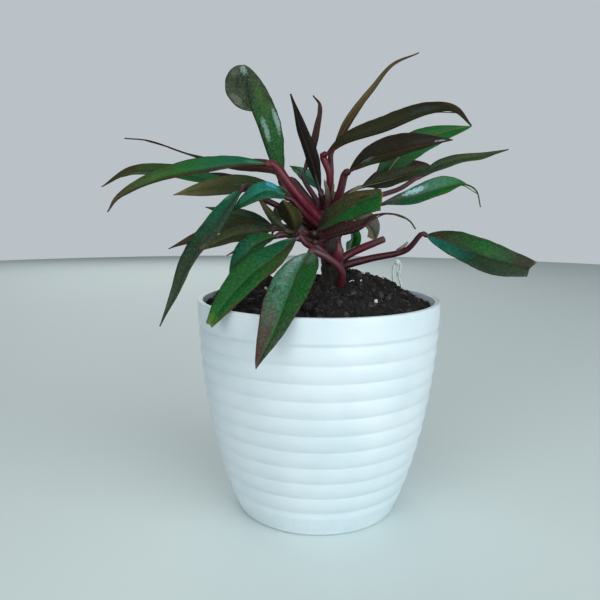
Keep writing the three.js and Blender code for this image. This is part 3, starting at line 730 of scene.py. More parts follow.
        [(-18, 28, 144), (-35, 38, 140), (-54, 46, 131)],
        half(4), half(4), (0, -0.3, 1), 20, 0.2,
        ("dark_olive purple_brown brown", "dark_olive purple_brown brown"),
        ("maroon", "maroon")),
    "front_short_leaf": leaf(
        138, [(-4, -9, 143)], (2.2, 1.6),
        [(-12, -18, 148), (-14, -27, 156), (-18, -36, 164)],
        half(5, 0.5), half(9, 0.45, 0.6), (0.3, 0.5, 0.8), 18, 0.3,
        ("dark_olive tan_olive tan_olive", "near_black dark_olive dark_olive"),
        ("maroon", "purple_brown"), rib_tint="dark_olive", under="dark_olive",
        marks=(("maroon", (0.5, -0.55), (0.1, 0.3), 0.5),)),
    "front_thin_leaf": leaf(
        139, [(-9, -8, 146)], (1.8, 1.2),
        [(-17, -14, 149), (-24, -16, 154), (-31, -20, 166)],
        half(3.5), half(3.5), (0.6, -0.6, 0.6), 20, 0.2,
        ("grey_green olive dry_tan", "grey_green olive dry_tan"),
        ("maroon", "olive")),
    "front_cut_leaf": leaf(
        136, [(-7, -13, 142)], (2.2, 1.5),
        [(-12, -17, 145), (-22, -28, 137), (-33, -38, 129), (-44, -47, 117), (-51, -52, 107)],
        half(8, 0.45), half(8.5, 0.4, 0.7), (-0.1, -0.8, 0.7), 12, 0.3,
        ("olive leaf_green leaf_green", "blue_green leaf_green leaf_green"),
        ("crimson", "mauve"), cut=0.9, ends=(0, 0.02, 0.01), blister=0.24, shine=0.45,
        rib_tint="leaf_green",
        marks=(
            ("yellow_green", (0.97, 0.0), (0.06, 1.1), 0.8),
            ("brown", (0.85, -0.92), (0.15, 0.16), 0.75),
            # A painted sheen near the base
            ("pale_mint", (0.04, 0.8), (0.05, 0.3), 0.6),
            ("rust", (0.3, -0.97), (0.3, 0.09), 0.5))),
    "front_green_leaf": leaf(
        139, [(-10, -8, 144)], (2, 1.4),
        [(-22, -16, 146), (-32, -22, 142), (-39, -28, 134), (-44, -33, 124)],
        half(5), half(6.5), (-0.1, -0.8, 0.7), 15, 0.3,
        ("deep_green leaf_green leaf_green", "leaf_green blue_green leaf_green"),
        ("mauve", "mauve"), blister=0.28, shine=0.5, rib_tint="leaf_green"),
    "front_long_leaf": leaf(
        112, [(11, -6, 120), (11, -11, 128), (4, -16, 135)], (2.6, 1.9),
        [(-5, -22, 138), (-11, -40, 131), (-16, -56, 120), (-22, -70, 106), (-28, -77, 94)],
        half(10, 0.35, 0.5), half(9.5, 0.5, 0.6, 0.8), (-0.1, -0.7, 0.7), 12, 0.4,
        # The right half's mint is a painted sheen
        ("leaf_green leaf_green grey_green", "mint mint brown"),
        ("crimson", "mauve"), blister=0.34, shine=0.5, rib_tint="leaf_mint", patches=0.45,
        marks=(
            # The pale marks here are painted sheen and painted reflections of the sky
            ("pale_sky_reflection", (0.12, 0.55), (0.08, 0.3), 0.5),
            ("pale_mint", (0.1, -0.5), (0.12, 0.4), 0.45),
            ("leaf_green", (0.5, -0.45), (0.18, 0.3), 0.5),
            ("deep_green", (0.38, 0.5), (0.05, 0.09), 0.7),
            ("deep_green", (0.5, 0.7), (0.05, 0.1), 0.7),
            ("deep_green", (0.3, -0.1), (0.04, 0.1), 0.6),
            # A painted reflection of the sky
            ("pale_sky_reflection", (0.25, 0.5), (0.2, 0.35), 0.35),
            ("mauve", (0.8, 0.5), (0.25, 0.6), 0.4),
            ("rose", (0.62, 0.97), (0.25, 0.07), 0.6))),
    "back_green_leaf": leaf(
        154, [(1, 9, 162)], (1.8, 1.2),
        [(0, 15, 170), (-7, 22, 177), (-16, 31, 183)],
        half(5), half(5), (0.2, -0.8, 0.6), 15, 0.3,
        ("teal blue_green leaf_green", "teal mint leaf_green"),
        ("crimson", "olive"), shine=0.6),
    "back_arching_leaf": leaf(
        147, [(6, 12, 158)], (2.2, 1.5),
        [(9, 24, 164), (14, 45, 167), (20, 70, 159), (24, 92, 144)],
        half(7.5), half(7.5), (0, 0, 1), 20, 0.4,
        ("leaf_green leaf_green bronze", "deep_green leaf_green bronze"),
        ("crimson", "maroon")),
    "back_left_leaf": leaf(
        145, [(-4, 16, 155)], (2.2, 1.5),
        [(-8, 30, 160), (-16, 52, 160), (-24, 72, 152), (-29, 86, 140)],
        half(7), half(7), (0, 0, 1), 20, 0.4,
        ("dark_olive olive bronze", "dark_olive leaf_green bronze"),
        ("maroon", "maroon")),
    "back_low_leaf": leaf(
        138, [(0, 12, 146)], (2.2, 1.5),
        [(-4, 26, 150), (-6, 44, 148), (-6, 62, 138)],
        half(7), half(7), (0, 0, 1), 20, 0.4,
        ("leaf_green blue_green leaf_green", "leaf_green leaf_green olive"),
        ("mauve", "olive"), blister=0.18),
}


def half_width(shape, shaped):
    """How wide a half is at places along the whole blade, from 0 at the base to 1."""
    wide, widest, base, tip, start = shape
    rise = np.clip((shaped - start) / (widest - start), 0, 1)
    fall = np.clip((shaped - widest) / (1 - widest), 0, 1)
    growing = np.sin(rise * math.pi / 2) ** base
    ending = np.clip(np.cos(fall * math.pi / 2), 0, 1) ** tip
    return wide * np.where(shaped < widest, growing, ending) * (shaped > start)


def blade_grid(one, seed):
    """The upper and lower face of a blade, as two grids of points, and what they carry."""
    path = Path(one["rib"])
    across = np.linspace(-1, 1, 2 * BLADE_COLUMNS + 1)
    across = np.sign(across) * np.abs(across) ** 1.5
    steps = np.linspace(0, 1, BLADE_ROWS)
    short_left, short_rib, short_right = one["ends"]
    short_edge = np.where(across < 0, short_left, short_right)
    ragged = 0.012 * noise_line(across * 4, seed) * (one["cut"] < 1)
    short = mix(short_rib, short_edge, np.abs(across)) + ragged
    along = steps[:, None] * (1 - np.maximum(short, 0))[None]
    share = np.abs(across)[None] + along * 0
    sign = np.sign(across)[None] + along * 0

    centre = path.at(along)
    heading = path.heading(along)
    looks = mix(np.array(one["looks"], float), np.array(one["tip_looks"], float), along[..., None])
    side = unit(np.cross(heading, looks))
    up = unit(np.cross(side, heading))
    shaped = np.minimum(along * one["cut"] / (1 - one["thread"]), 1)
    on_left = across[None] < 0
    width = np.where(on_left, half_width(one["left"], shaped), half_width(one["right"], shaped))
    wide = np.where(on_left, one["left"][0], one["right"][0])
    width = np.maximum(width, mix(*LEAST_WIDTHS, along))
    length = path.length
    edge_noise = noise_grid(along * length / 4, across[None] * 0.3, seed + 3)
    width = width * (1 + EDGE_UNEVENNESS * edge_noise * share)

    fold = math.radians(one["fold"])
    out = side * (sign * math.cos(fold))[..., None] + up * math.sin(fold)
    face = up * math.cos(fold) - side * (sign * math.sin(fold))[..., None]
    face = np.where((share < 1e-6)[..., None], up, face)
    size = np.minimum(width / wide, 1)
    ripple = one["wave"] * np.sin(along * WAVE_TURN + sign) * size
    distance = width * share
    way = along * length
    vein = np.abs(np.sin(math.pi * (way - distance * VEIN_SWEEP) / VEIN_PITCH)) ** 0.7
    beside = across[None] * wide
    puckers = noise_grid(way / LARGE_PUCKER, beside / LARGE_PUCKER, seed)
    small = noise_grid(way / SMALL_PUCKER, beside / SMALL_PUCKER, seed + 9)
    puckers = puckers + 0.5 * small
    swell = np.sin(math.pi * np.clip(distance / 3, 0, 0.5)) * size
    rise = width * BLADE_BULGE * np.sin(math.pi * share) + ripple * share
    veins = VEIN_RELIEF * one["veins"] * (vein - 0.6)
    rise = rise + (one["blister"] * puckers + veins) * swell
    groove, groove_reach = RIB_GROOVE
    rise = rise - groove * np.exp(-(distance / groove_reach) ** 2) * size ** 0.5
    rolled = np.clip(share - EDGE_ROLL_START, 0, 1) / (1 - EDGE_ROLL_START)
    rise = rise - EDGE_ROLL * size * rolled * (one["blister"] > 0.15)
    over = centre + out * distance[..., None] + face * rise[..., None]
    thick = mix(BLADE_THICKNESS, BLADE_EDGE_THICKNESS, share)
    ridge, ridge_reach = RIB_RIDGE
    ridge = ridge * np.exp(-(distance / ridge_reach) ** 2) * mix(1.0, 0.2, along)
    below = over - face * (thick + ridge)[..., None]
    carried = dict(across=across[None] + along * 0, along=along, rib_way=way, rib_distance=distance)
    return over, below, carried


def noise_line(places, seed):
    return np.array([noise.noise(Vector((p, seed * 5.3, seed * 2.1))) for p in places])


def noise_grid(first, second, seed):
    """Smooth noise from -1 to 1 on two grids of places, a lump to each whole number."""
    first, second = np.broadcast_arrays(first, second)
    pairs = zip(first.ravel(), second.ravel())
    values = [noise.noise(Vector((a, b, seed * 3.7))) for a, b in pairs]
    return np.array(values).reshape(first.shape)


def make_blade(name, one, seed):
    over, below, carried = blade_grid(one, seed)
    rings = np.concatenate([over, below[:, ::-1]], axis=1)
    values = {key: np.concatenate([v, v[:, ::-1]], axis=1) for key, v in carried.items()}
    values["under"] = np.concatenate([over[..., 0] * 0, below[..., 0] * 0 + 1], axis=1)
    skin = Skin()
    skin.add_rings(rings, **values)
    return skin.piece(name + "_blade", leaf_finish(name, one, seed), "leaf", name)


def leaf_finish(name, one, seed):
    """A leaf's colours along each half, its veins, edge, painted pale sheen and wet shine, with
    painted shade and highlights on its puckers and painted reflections among its spots.
    """
    material, tree, shader = new_finish(
        name + "_finish", coat_weight=0.1 * one["shine"], coat_roughness=0.14,
        specular_tint=GLOSS_TONE)
    shader.inputs["IOR"].default_value = 1.4
    shader.inputs["Specular IOR Level"].default_value = 0.12 + 0.16 * one["shine"]
    place = object_place(tree)
    across = attribute(tree, "across")
    along = attribute(tree, "along")
    under = attribute(tree, "under")
    way = attribute(tree, "rib_way")
    off = attribute(tree, "rib_distance")
    broad = clouds(tree, place, 9 + seed % 3, 3)
    fine = clouds(tree, place, 1.3, 4, 0.65)
    lengthwise = along + (broad - 0.5) * 0.35

    # Each half's run of colours, which on some leaves holds a painted sheen, darker in cloudy patches
    left, right = [ramp(tree, lengthwise, stops(names)) for names in one["tints"]]
    face = tint(tree, (across + (fine - 0.5) * 0.06).between(-0.03, 0.03), left, right)
    face = tint(tree, (broad - 0.35) * 0.5, face, tint(tree, 1.0, face, "dark_olive", "MULTIPLY"))

    # Veins and fine hairlines that sweep forwards from the rib
    sweep = way - off * VEIN_SWEEP + (broad - 0.5) * 1.5
    vein = (sweep * (math.pi / VEIN_PITCH)).cosine().size().between(0.9, 0.995)
    hair = (sweep * (math.pi / HAIR_PITCH)).cosine().size().between(0.8, 1.0)
    pale = tint(tree, 0.12, face, "pale_mint")
    face = tint(tree, vein * off.between(9, 0.5) * 0.45 * one["veins"], face, pale)
    face = tint(tree, hair * 0.15 * one["veins"], face, pale)
    # Puckered skin: painted shade in the dents and painted highlights on the crests
    pebbles = cells(tree, place, PEBBLE_SIZE) + (fine - 0.5) * 0.5
    shaded_dents = pebbles.between(0.35, 0.85) * min(one["blister"] * 2.4, 0.8)
    face = drawn_to(tree, shaded_dents, face, 0.6, "near_black")
    lit_crests = pebbles.between(0.3, 0.05) * min(one["blister"] * 1.6, 0.6)
    face = drawn_to(tree, lit_crests, face, 0.35, "pale_mint")
    face = drawn_to(tree, fine.between(0.45, 0.8) * 0.3, face, 0.5, "near_black")
    # Ragged spots: most are the leaf's own spots and tints, and some are painted reflections of the
    # sky and painted sheen
    ragged = (broad - 0.5) * 2 + (fine - 0.5) * 2.6
    for hue, middle, reach, strength in one["marks"]:
        far = ((along - middle[0]) / reach[0]).size() ** 2
        far = far + ((across - middle[1]) / reach[1]).size() ** 2
        face = tint(tree, (far + ragged).between(1.0, 0.1) * strength, face, hue)

    # Rib, edge, pale patches of painted sheen, dried tip and the underside
    rib = off.between(0.75, 0.25) * along.between(1.0, 0.75)
    face = tint(tree, rib * 0.5, face, one["rib_tint"])
    edge = across.size().between(0.93, 0.995) * (0.35 + broad * 0.6)
    face = tint(tree, edge, face, "maroon")
    # Pale patches of painted sheen, which are also rougher where they lie
    painted_sheen = clouds(tree, place, 5, 3, 0.6, noise_dimensions="3D")
    painted_sheen = (painted_sheen + (fine - 0.5) * 0.4).between(0.5, 0.72) * one["patches"]
    face = tint(tree, painted_sheen * 0.35, face, "dry_grey")
    dried = along.between(0.965, 1.0) * (1.0 if one["cut"] < 1 else 0.4)
    face = tint(tree, dried * (0.4 + fine), face, "dry_tan")
    below = tint(tree, 0.5, face, one["under"])
    below = tint(tree, vein * 0.3 * one["veins"], below, "mauve")
    face = tint(tree, under, face, below)

    roughness = 0.44 - 0.2 * one["shine"] + (fine - 0.5) * 0.25 + painted_sheen * 0.3 + under * 0.12
    height = fine * 0.3 + vein * (-0.2 * one["veins"]) + hair * -0.05 + broad * 0.4 + shaded_dents * -0.6
    give(tree, shader, face, roughness, height, 0.2 + 1.2 * one["blister"])
    return material


def stops(names):
    """Three colours, spread along the blade."""
    return list(zip((0.12, 0.5, 0.88), names.split()))


# The stalks, the stem and what stands on it

def stem_point(height):
    foot, _, top = STEM_POINTS
    share = (height - foot[2]) / (top[2] - foot[2])
    return Path(STEM_POINTS).at(min(max(share, 0), 1)).tolist()


def colour_run(names, shares, lumps):
    """Colours along a bar from its first name to its last, with small lumps of change."""
    ends = np.array([colour(name) for name in names])
    shares = np.clip(shares + lumps, 0, 1) * (len(ends) - 1)
    lower = np.minimum(shares.astype(int), len(ends) - 2)
    return mix(ends[lower], ends[lower + 1], (shares - lower)[..., None])


def add_stalk(skin, one, seed):
    """A leaf's stalk, swollen where it clasps the stem, and the keel under the blade that
    it runs out into."""
    rib = Path(one["rib"])
    looks = unit(np.array(one["looks"], float))
    keel = [(rib.at(share) - looks * KEEL_DROP).tolist() for share in KEEL_SHARES]
    before = (np.array(one["rib"][0]) - rib.heading(0.0) * STALK_LEAD).tolist()
    points = [stem_point(one["height"]), *one["stalk"], before, *keel]
    path = Path(points)
    reach = path.length - rib.length * KEEL_SHARES[-1]
    thick, thin = one["thick"]

    def radius_at(share):
        way = share * path.length
        if way < reach:
            clasp = 1 + CLASP_SWELL * math.exp(-(way / CLASP_REACH) ** 2)
            return mix(thick, thin, (way / reach) ** 0.8) * clasp * 0.95
        left = (way - reach) / (path.length - reach)
        return mix(min(thin * 0.75, 0.85), 0.2, left ** 0.6)

    rings = rings_along(points, radius_at, 14, 70, one["looks"], 0.12)
    rows, sides, _ = rings.shape
    rings = pushed_out(rings, 0.06 * rough(rings, 2.5, seed))
    shares = np.linspace(0, 1, rows) * path.length / max(reach, 1)
    shares = np.repeat(shares[:, None], sides, axis=1)
    names = (*one["stalk_tints"], one["rib_tint"])
    tints = colour_run(names, shares * 0.5, 0.06 * rough(rings, 6, seed + 4))
    skin.add_rings(rings, tint=tints)


def make_stalks(material):
    skin = Skin()
    for seed, one in enumerate(LEAVES.values()):
        add_stalk(skin, one, seed)
    return skin.piece("leaf_stalks", material, "stalk", "stem_and_stalks")


def stalk_finish():
    """Smooth red and olive stalks with fine streaks along them and a wet shine."""
    material, tree, shader = new_finish("stalk_finish", coat_weight=0.12, coat_roughness=0.2)
    shader.inputs["Specular IOR Level"].default_value = 0.4
    place = object_place(tree)
    own = attribute(tree, "tint", "Color")
    fine = clouds(tree, place, 0.9, 4, 0.6)
    broad = clouds(tree, place, 4, 3, 0.55)
    streak = clouds(tree, object_place(tree, (3, 3, 0.5)), 1.6, 3, 0.6)
    tone = drawn_to(tree, streak.between(0.45, 0.75) * 0.5, own, 0.6, "near_black")
    tone = tint(tree, broad.between(0.55, 0.8) * 0.3, tone, tint(tree, 0.3, own, "rose"))
    tone = tint(tree, fine.between(0.64, 0.72) * 0.12, tone, "pale_rose")
    give(tree, shader, tone, 0.3 + fine * 0.2, fine * 0.5 + streak * 0.5, 0.15)
    return material


def make_stem(material):
    """The short thick stem, ringed where leaves have dropped, with rough flaking skin."""
    def radius_at(share):
        scars = abs(math.sin(share * SCAR_TURNS)) ** 6
        return mix(STEM_FOOT_RADIUS, STEM_TOP_RADIUS, share) * 0.94 + scars * SCAR_HEIGHT

    rings = rings_along(STEM_POINTS, radius_at, 48, 150)
    rings = pushed_out(rings, rough(rings, 5, 1) * 0.5 + rough(rings, 1.6, 2) * 0.28)
    shares = np.linspace(0, 1, rings.shape[0])[:, None] + rings[..., 0] * 0
    # The near black low on the stem is partly its own dark bark and partly painted shade under the
    # leaves
    names = ("soil_brown", "near_black", "purple_brown", "maroon")
    tints = colour_run(names, shares, 0.3 * rough(rings, 4, 3))
    skin = Skin()
    skin.add_rings(rings, tint=tints)
    return skin.piece("stem", material, "stalk", "stem_and_stalks")


def stem_finish():
    """Dull purple-brown bark with pale flakes."""
    material, tree, shader = new_finish("stem_finish", coat_weight=0.08, coat_roughness=0.5)
    place = object_place(tree)
    own = attribute(tree, "tint", "Color")
    fine = clouds(tree, place, 0.7, 5, 0.65)
    flakes = cells(tree, object_place(tree, (1, 1, 0.5)), 2.2)
    tone = tint(tree, fine.between(0.4, 0.8) * 0.7, own, "bark")
    tone = tint(tree, flakes.between(0.55, 0.7) * 0.2, tone, "soil_light")
    give(tree, shader, tone, 0.62 + fine * 0.25, fine + flakes * 0.5, 0.5)
    return material


# A closed bud, dry sheaths, a cut stalk and a splinter, each from its foot to its tip
CUT_STALK = [(8, 1, 130), (17, 3, 136), (35, 2, 144)]
BUD = [(8, -3, 132), (10, -9, 138), (9, -9, 144)]
LEFT_SHEATH = [(-4, -6, 143), (-11, -13, 150), (-15, -14, 164)]
TOP_SHEATH = [(3, 0, 156), (4, -6, 166), (2, -9, 174)]
TOP_SPIKE = [(4, 0, 156), (7, -7, 172)]
SPLINTER = [(40, -9, 138), (45, -10, 143)]


def tapering(thick, thin, tip_round=0.06, belly=0.0):
    """A radius that goes from thick to thin, with a belly, and closes over the end."""
    def radius_at(share):
        closing = min((1 - share) / tip_round, 1)
        swell = 1 + belly * math.sin(math.pi * min(share * 1.35, 1))
        return mix(thick, thin, share) * swell * max(math.sqrt(1 - (1 - closing) ** 2), 0.08)
    return radius_at


def add_shoot(skin, points, radius_at, names, seed, roughness=0.08, sides=20, rows=60, groove=0.0):
    rings = rings_along(points, radius_at, sides, rows, (0, -1, 0.3), groove)
    rings = pushed_out(rings, rough(rings, 1.8, seed) * roughness)
    shares = np.linspace(0, 1, rows)[:, None] + rings[..., 0] * 0
    tints = colour_run(names, shares, 0.12 * rough(rings, 2.5, seed + 1))
    skin.add_rings(rings, tint=tints)


def make_shoots(material):
    """The cut stalk and the splinter beside it."""
    skin = Skin()
    add_shoot(skin, CUT_STALK, tapering(2.4, 1.8, 0.03), ("maroon", "crimson", "mauve"), 41)
    add_shoot(skin, SPLINTER, tapering(1.3, 0.5), ("maroon", "dry_white"), 42)
    return skin.piece("cut_stalk", material, "stalk", "stem_and_stalks")


def make_bud(material):
    skin = Skin()
    tints = ("dark_crimson", "magenta", "rose", "mauve")
    add_shoot(skin, BUD, tapering(2.9, 1.1, 0.2, 0.25), tints, 43, 0.03, 28, 80)
    return skin.piece("closed_bud", material, "stalk", "stem_and_stalks")


def make_sheaths(material):
    """The dry pointed sheaths that new leaves came out of, rolled in from both edges."""
    skin = Skin()
    for seed, (points, thick, names) in enumerate((
            (LEFT_SHEATH, (3.6, 0.7), ("maroon", "mauve", "mauve")),
            (TOP_SHEATH, (2.4, 0.7), ("mauve", "mauve", "dry_grey")),
            (TOP_SPIKE, (1.8, 0.5), ("maroon", "brown", "dry_tan")))):
        shape = tapering(*thick, 0.25)
        add_shoot(skin, points, shape, names, 50 + seed, 0.2, 24, 70, 0.55)
    return skin.piece("dry_sheaths", material, "stalk", "stem_and_stalks")


# Forms that repeat or follow a rule, made by Geometry Nodes

SOCKET_KINDS = {float: "NodeSocketFloat", int: "NodeSocketInt"}


def socket_title(label):
    return label.replace("_", " ").capitalize()


class Recipe:
    """A node tree that makes a form from named sizes, and the modifier that runs it."""

    def __init__(self, name, **sizes):
        self.tree = bpy.data.node_groups.new(name, "GeometryNodeTree")
        self.sizes = sizes
        self.sockets = {}
        self.socket("Ground", "NodeSocketGeometry")
        for label, value in sizes.items():
            self.socket(label, SOCKET_KINDS[type(value)])
        self.socket("Finish", "NodeSocketMaterial")
        self.tree.interface.new_socket("Geometry", in_out="OUTPUT",
                                       socket_type="NodeSocketGeometry")
        self.given = self.tree.nodes.new("NodeGroupInput")

    def socket(self, label, kind):
        self.sockets[label] = self.tree.interface.new_socket(
            socket_title(label), in_out="INPUT", socket_type=kind)

    def size(self, label):
        return Number(self.tree, self.given.outputs[socket_title(label)])

    def add(self, kind, inputs=None, **settings):
        return add_node(self.tree, kind, inputs, **settings)

    def numbers(self, kind, output, inputs=None, **settings):
        return Number(self.tree, self.add(kind, inputs, **settings).outputs[output])

    def end_with(self, geometry):
        """Turns copies into real mesh, gives it its finish and closes the tree."""
        real = self.add("GeometryNodeRealizeInstances", {"Geometry": geometry})
        finish = self.add("GeometryNodeSetMaterial", {"Geometry": real.outputs[0]})
        self.tree.links.new(self.given.outputs["Finish"], finish.inputs["Material"])
        output = self.tree.nodes.new("NodeGroupOutput")
        self.tree.links.new(finish.outputs[0], output.inputs["Geometry"])

    def make(self, name, finish, ground=None):
        """Runs the tree and gives back what it makes as a plain mesh."""
        ground = ground or bpy.data.meshes.new(name + "_ground")
        holder = bpy.data.objects.new(name + "_holder", ground)
        bpy.context.scene.collection.objects.link(holder)
        modifier = holder.modifiers.new("recipe", "NODES")
        modifier.node_group = self.tree
        for label, value in {**self.sizes, "Finish": finish}.items():
            modifier[self.sockets[label].identifier] = value
        bpy.context.view_layer.update()
        seen = holder.evaluated_get(bpy.context.evaluated_depsgraph_get())
        mesh = bpy.data.meshes.new_from_object(seen)
        holder.modifiers.remove(modifier)
        bpy.data.objects.remove(holder)
        mesh.name = name
        return mesh


# The pot: one wall turned about the axis, with soft rings on the outside

POT_SECTIONS = {"under": 6, "foot": 8, "wall": 240, "lip": 12, "inner": 40, "corner": 6,
                "floor": 8}


def pot_recipe():
    pot = Recipe(
        "turned_ringed_pot", sides=160, height=float(POT_HEIGHT), rim_radius=RIM_RADIUS,
        foot_radius=FOOT_RADIUS, flare=FLARE, wall_thickness=WALL,
        floor_thickness=FLOOR_THICKNESS, lip_round=LIP_ROUND, foot_round=FOOT_ROUND,
        inner_round=float(INNER_ROUND), ring_count=RING_COUNT, ring_pitch=RING_PITCH,
        ring_start=RING_START, ring_depth=RING_DEPTH, ring_breadth=RING_BREADTH)
    size = pot.size
    rows = sum(POT_SECTIONS.values())
    grid = pot.add("GeometryNodeMeshGrid", {
        "Size X": 1.0, "Size Y": 1.0, "Vertices X": size("sides") + 1, "Vertices Y": rows + 1})
    where = pot.add("GeometryNodeInputPosition").outputs[0]
    split = pot.add("ShaderNodeSeparateXYZ", {"Vector": where})
    turn = (Number(pot.tree, split.outputs["X"]) + 0.5) * (2 * math.pi)
    row = (Number(pot.tree, split.outputs["Y"]) + 0.5) * rows
    share = {}
    start = 0
    for section, count in POT_SECTIONS.items():
        share[section] = row.between(start, start + count)
        start += count
    quarter = math.pi / 2

    def opening(z):
        return (z / size("height") * quarter).sine() ** size("flare")

    def plain_radius(z):
        return size("foot_radius") + (size("rim_radius") - size("foot_radius")) * opening(z)

    def ringed_radius(z):
        along = (z - size("ring_start")) / size("ring_pitch")
        held = along.between(0, size("ring_count")) * size("ring_count")
        stands = (held * math.pi).sine().size() ** size("ring_breadth")
        end = size("ring_start") + size("ring_count") * size("ring_pitch")
        fade_in, fade_out = RING_FADES
        starting = z.between(size("ring_start") - fade_in, size("ring_start"), smooth=True)
        ending = z.between(end + fade_out, end, smooth=True)
        return plain_radius(z) - size("ring_depth") * (1 - stands) * starting * ending

    foot = size("foot_round")
    lip = size("lip_round")
    top = size("height") - lip
    wall_z = foot + share["wall"] * (top - foot)
    inner_low = size("floor_thickness") + size("inner_round")
    inner_z = top - share["inner"] * (top - inner_low)
    half_lip = (size("wall_thickness") + size("ring_depth") * 0.5) * 0.5
    at_foot = ringed_radius(foot)
    radius = share["under"] * (at_foot - foot) + foot * (share["foot"] * quarter).sine()
    radius = radius + ringed_radius(wall_z) - at_foot
    radius = radius - half_lip * (1 - (share["lip"] * math.pi).cosine())
    radius = radius + plain_radius(inner_z) - plain_radius(top)
    radius = radius - size("inner_round") * (1 - (share["corner"] * quarter).cosine())
    radius = radius * (1 - share["floor"])
    z = foot * (1 - (share["foot"] * quarter).cosine()) + wall_z - foot
    z = z + lip * (share["lip"] * math.pi).sine() ** 0.5
    z = z + inner_z - top - size("inner_round") * (share["corner"] * quarter).sine()
    place = pot.add("ShaderNodeCombineXYZ", {
        "X": radius * turn.cosine() * MM, "Y": radius * turn.sine() * MM, "Z": z * MM})
    turned = pot.add("GeometryNodeSetPosition", {
        "Geometry": grid.outputs["Mesh"], "Position": place.outputs[0]})
    closed = pot.add("GeometryNodeMergeByDistance", {
        "Geometry": turned.outputs[0], "Distance": 0.00001})
    smooth = pot.add("GeometryNodeSetShadeSmooth", {"Geometry": closed.outputs[0]})
    pot.end_with(smooth.outputs[0])
    return pot


def faces_outwards(mesh):
    """Turns every face of a closed mesh to point out of it."""
    work = bmesh.new()
    work.from_mesh(mesh)
    bmesh.ops.remove_doubles(work, verts=work.verts, dist=0.000005)
    bmesh.ops.recalc_face_normals(work, faces=work.faces)
    work.to_mesh(mesh)
    work.free()


def pot_finish():
    """Satin white plastic, faintly cloudy, with fine rubbing marks and a little dust."""
    material, tree, shader = new_finish(
        "white_plastic_finish", coat_weight=0.25, coat_roughness=0.3, subsurface_weight=0.3)
    shader.inputs["IOR"].default_value = 1.5
    shader.inputs["Subsurface Radius"].default_value = (0.006, 0.007, 0.008)
    shader.inputs["Subsurface Scale"].default_value = 1.0
    place = object_place(tree)
    broad = clouds(tree, place, 34, 3, 0.5)
    fine = clouds(tree, place, 0.8, 3, 0.6)
    rubbed = clouds(tree, object_place(tree, (1, 1, 7)), 14, 5, 0.65)
    specks = cells(tree, place, 6.5)
    height = Number(tree, add_node(tree, "ShaderNodeSeparateXYZ", {"Vector": place}).outputs["Z"])
    tone = tint(tree, broad.between(0.35, 0.7), "pot_white", "pot_shade")
    tone = tint(tree, rubbed.between(0.56, 0.74) * 0.3, tone, "pot_shade")
    tone = tint(tree, specks.between(0.045, 0.02) * 0.35, tone, "soil_light")
    low = height.between(0.012, 0.0) * fine.between(0.4, 0.8)
    tone = tint(tree, low * 0.3, tone, "soil_light")
    roughness = 0.4 + (rubbed - 0.5) * 0.3 + fine * 0.06
    give(tree, shader, tone, roughness, fine * 0.5 + rubbed, 0.05)
    return material


def make_pot():
    mesh = pot_recipe().make("pot_wall", None)
    faces_outwards(mesh)
    return as_piece(mesh, "ringed_pot", pot_finish(), "white_plastic", "pot")


# The soil

def soil_level(x, y):
    """How high the mound is, in millimetres, at places across the pot."""
    level = SOIL_WALL_LEVEL + SOIL_DOME * (1 - (x ** 2 + y ** 2) / RIM_RADIUS ** 2)
    for heap_x, heap_y, reach, height in SOIL_HEAPS:
        level = level + height * np.exp(-(((x - heap_x) ** 2 + (y - heap_y) ** 2) / reach ** 2) / 2)
    for height, along_x, along_y in SOIL_WAVES:
        level = level + height * np.sin(x * along_x + y * along_y)
    return level


def inner_radius(z):
    share = np.sin(np.asarray(z) / POT_HEIGHT * math.pi / 2) ** FLARE
    return mix(FOOT_RADIUS, RIM_RADIUS, share) - WALL - RING_DEPTH * 0.5


def mound_rings(radii, sides):
    turns = np.linspace(0, 2 * math.pi, sides, endpoint=False)
    x = radii[:, None] * np.cos(turns)
    y = radii[:, None] * np.sin(turns)
    lumps = sum(noise_grid(x / wide, y / wide, seed) * high for wide, high, seed in SOIL_LUMPS)
    edge = float(inner_radius(SOIL_WALL_LEVEL)) - SOIL_EDGE_GAP
    settle = np.clip((edge - radii[:, None]) / 3, 0, 1)
    return np.stack([x, y, soil_level(x, y) + lumps * (0.35 + 0.65 * settle) - 0.6], -1)


def make_soil(material):
    """The plug of peat that fills the pot, with a rough mound on top."""
    sides = 220
    edge = float(inner_radius(SOIL_WALL_LEVEL)) - SOIL_EDGE_GAP
    turns = np.linspace(0, 2 * math.pi, sides, endpoint=False)
    around = np.stack([np.cos(turns), np.sin(turns)], -1)
    foot = float(inner_radius(INNER_ROUND + FLOOR_THICKNESS)) - INNER_ROUND - SOIL_GAP
    levels = [(foot, FLOOR_THICKNESS + SOIL_GAP)]
    levels.extend((float(inner_radius(z)) - SOIL_GAP, z) for z in SOIL_LEVELS)
    below = [np.column_stack([around * radius, np.full(sides, z)]) for radius, z in levels]
    top = mound_rings(np.linspace(edge, 0.6, 100), sides)
    skin = Skin()
    skin.add_rings(np.concatenate([np.array(below), top]))
    return skin.piece("peat_mound", material, "soil", "soil")


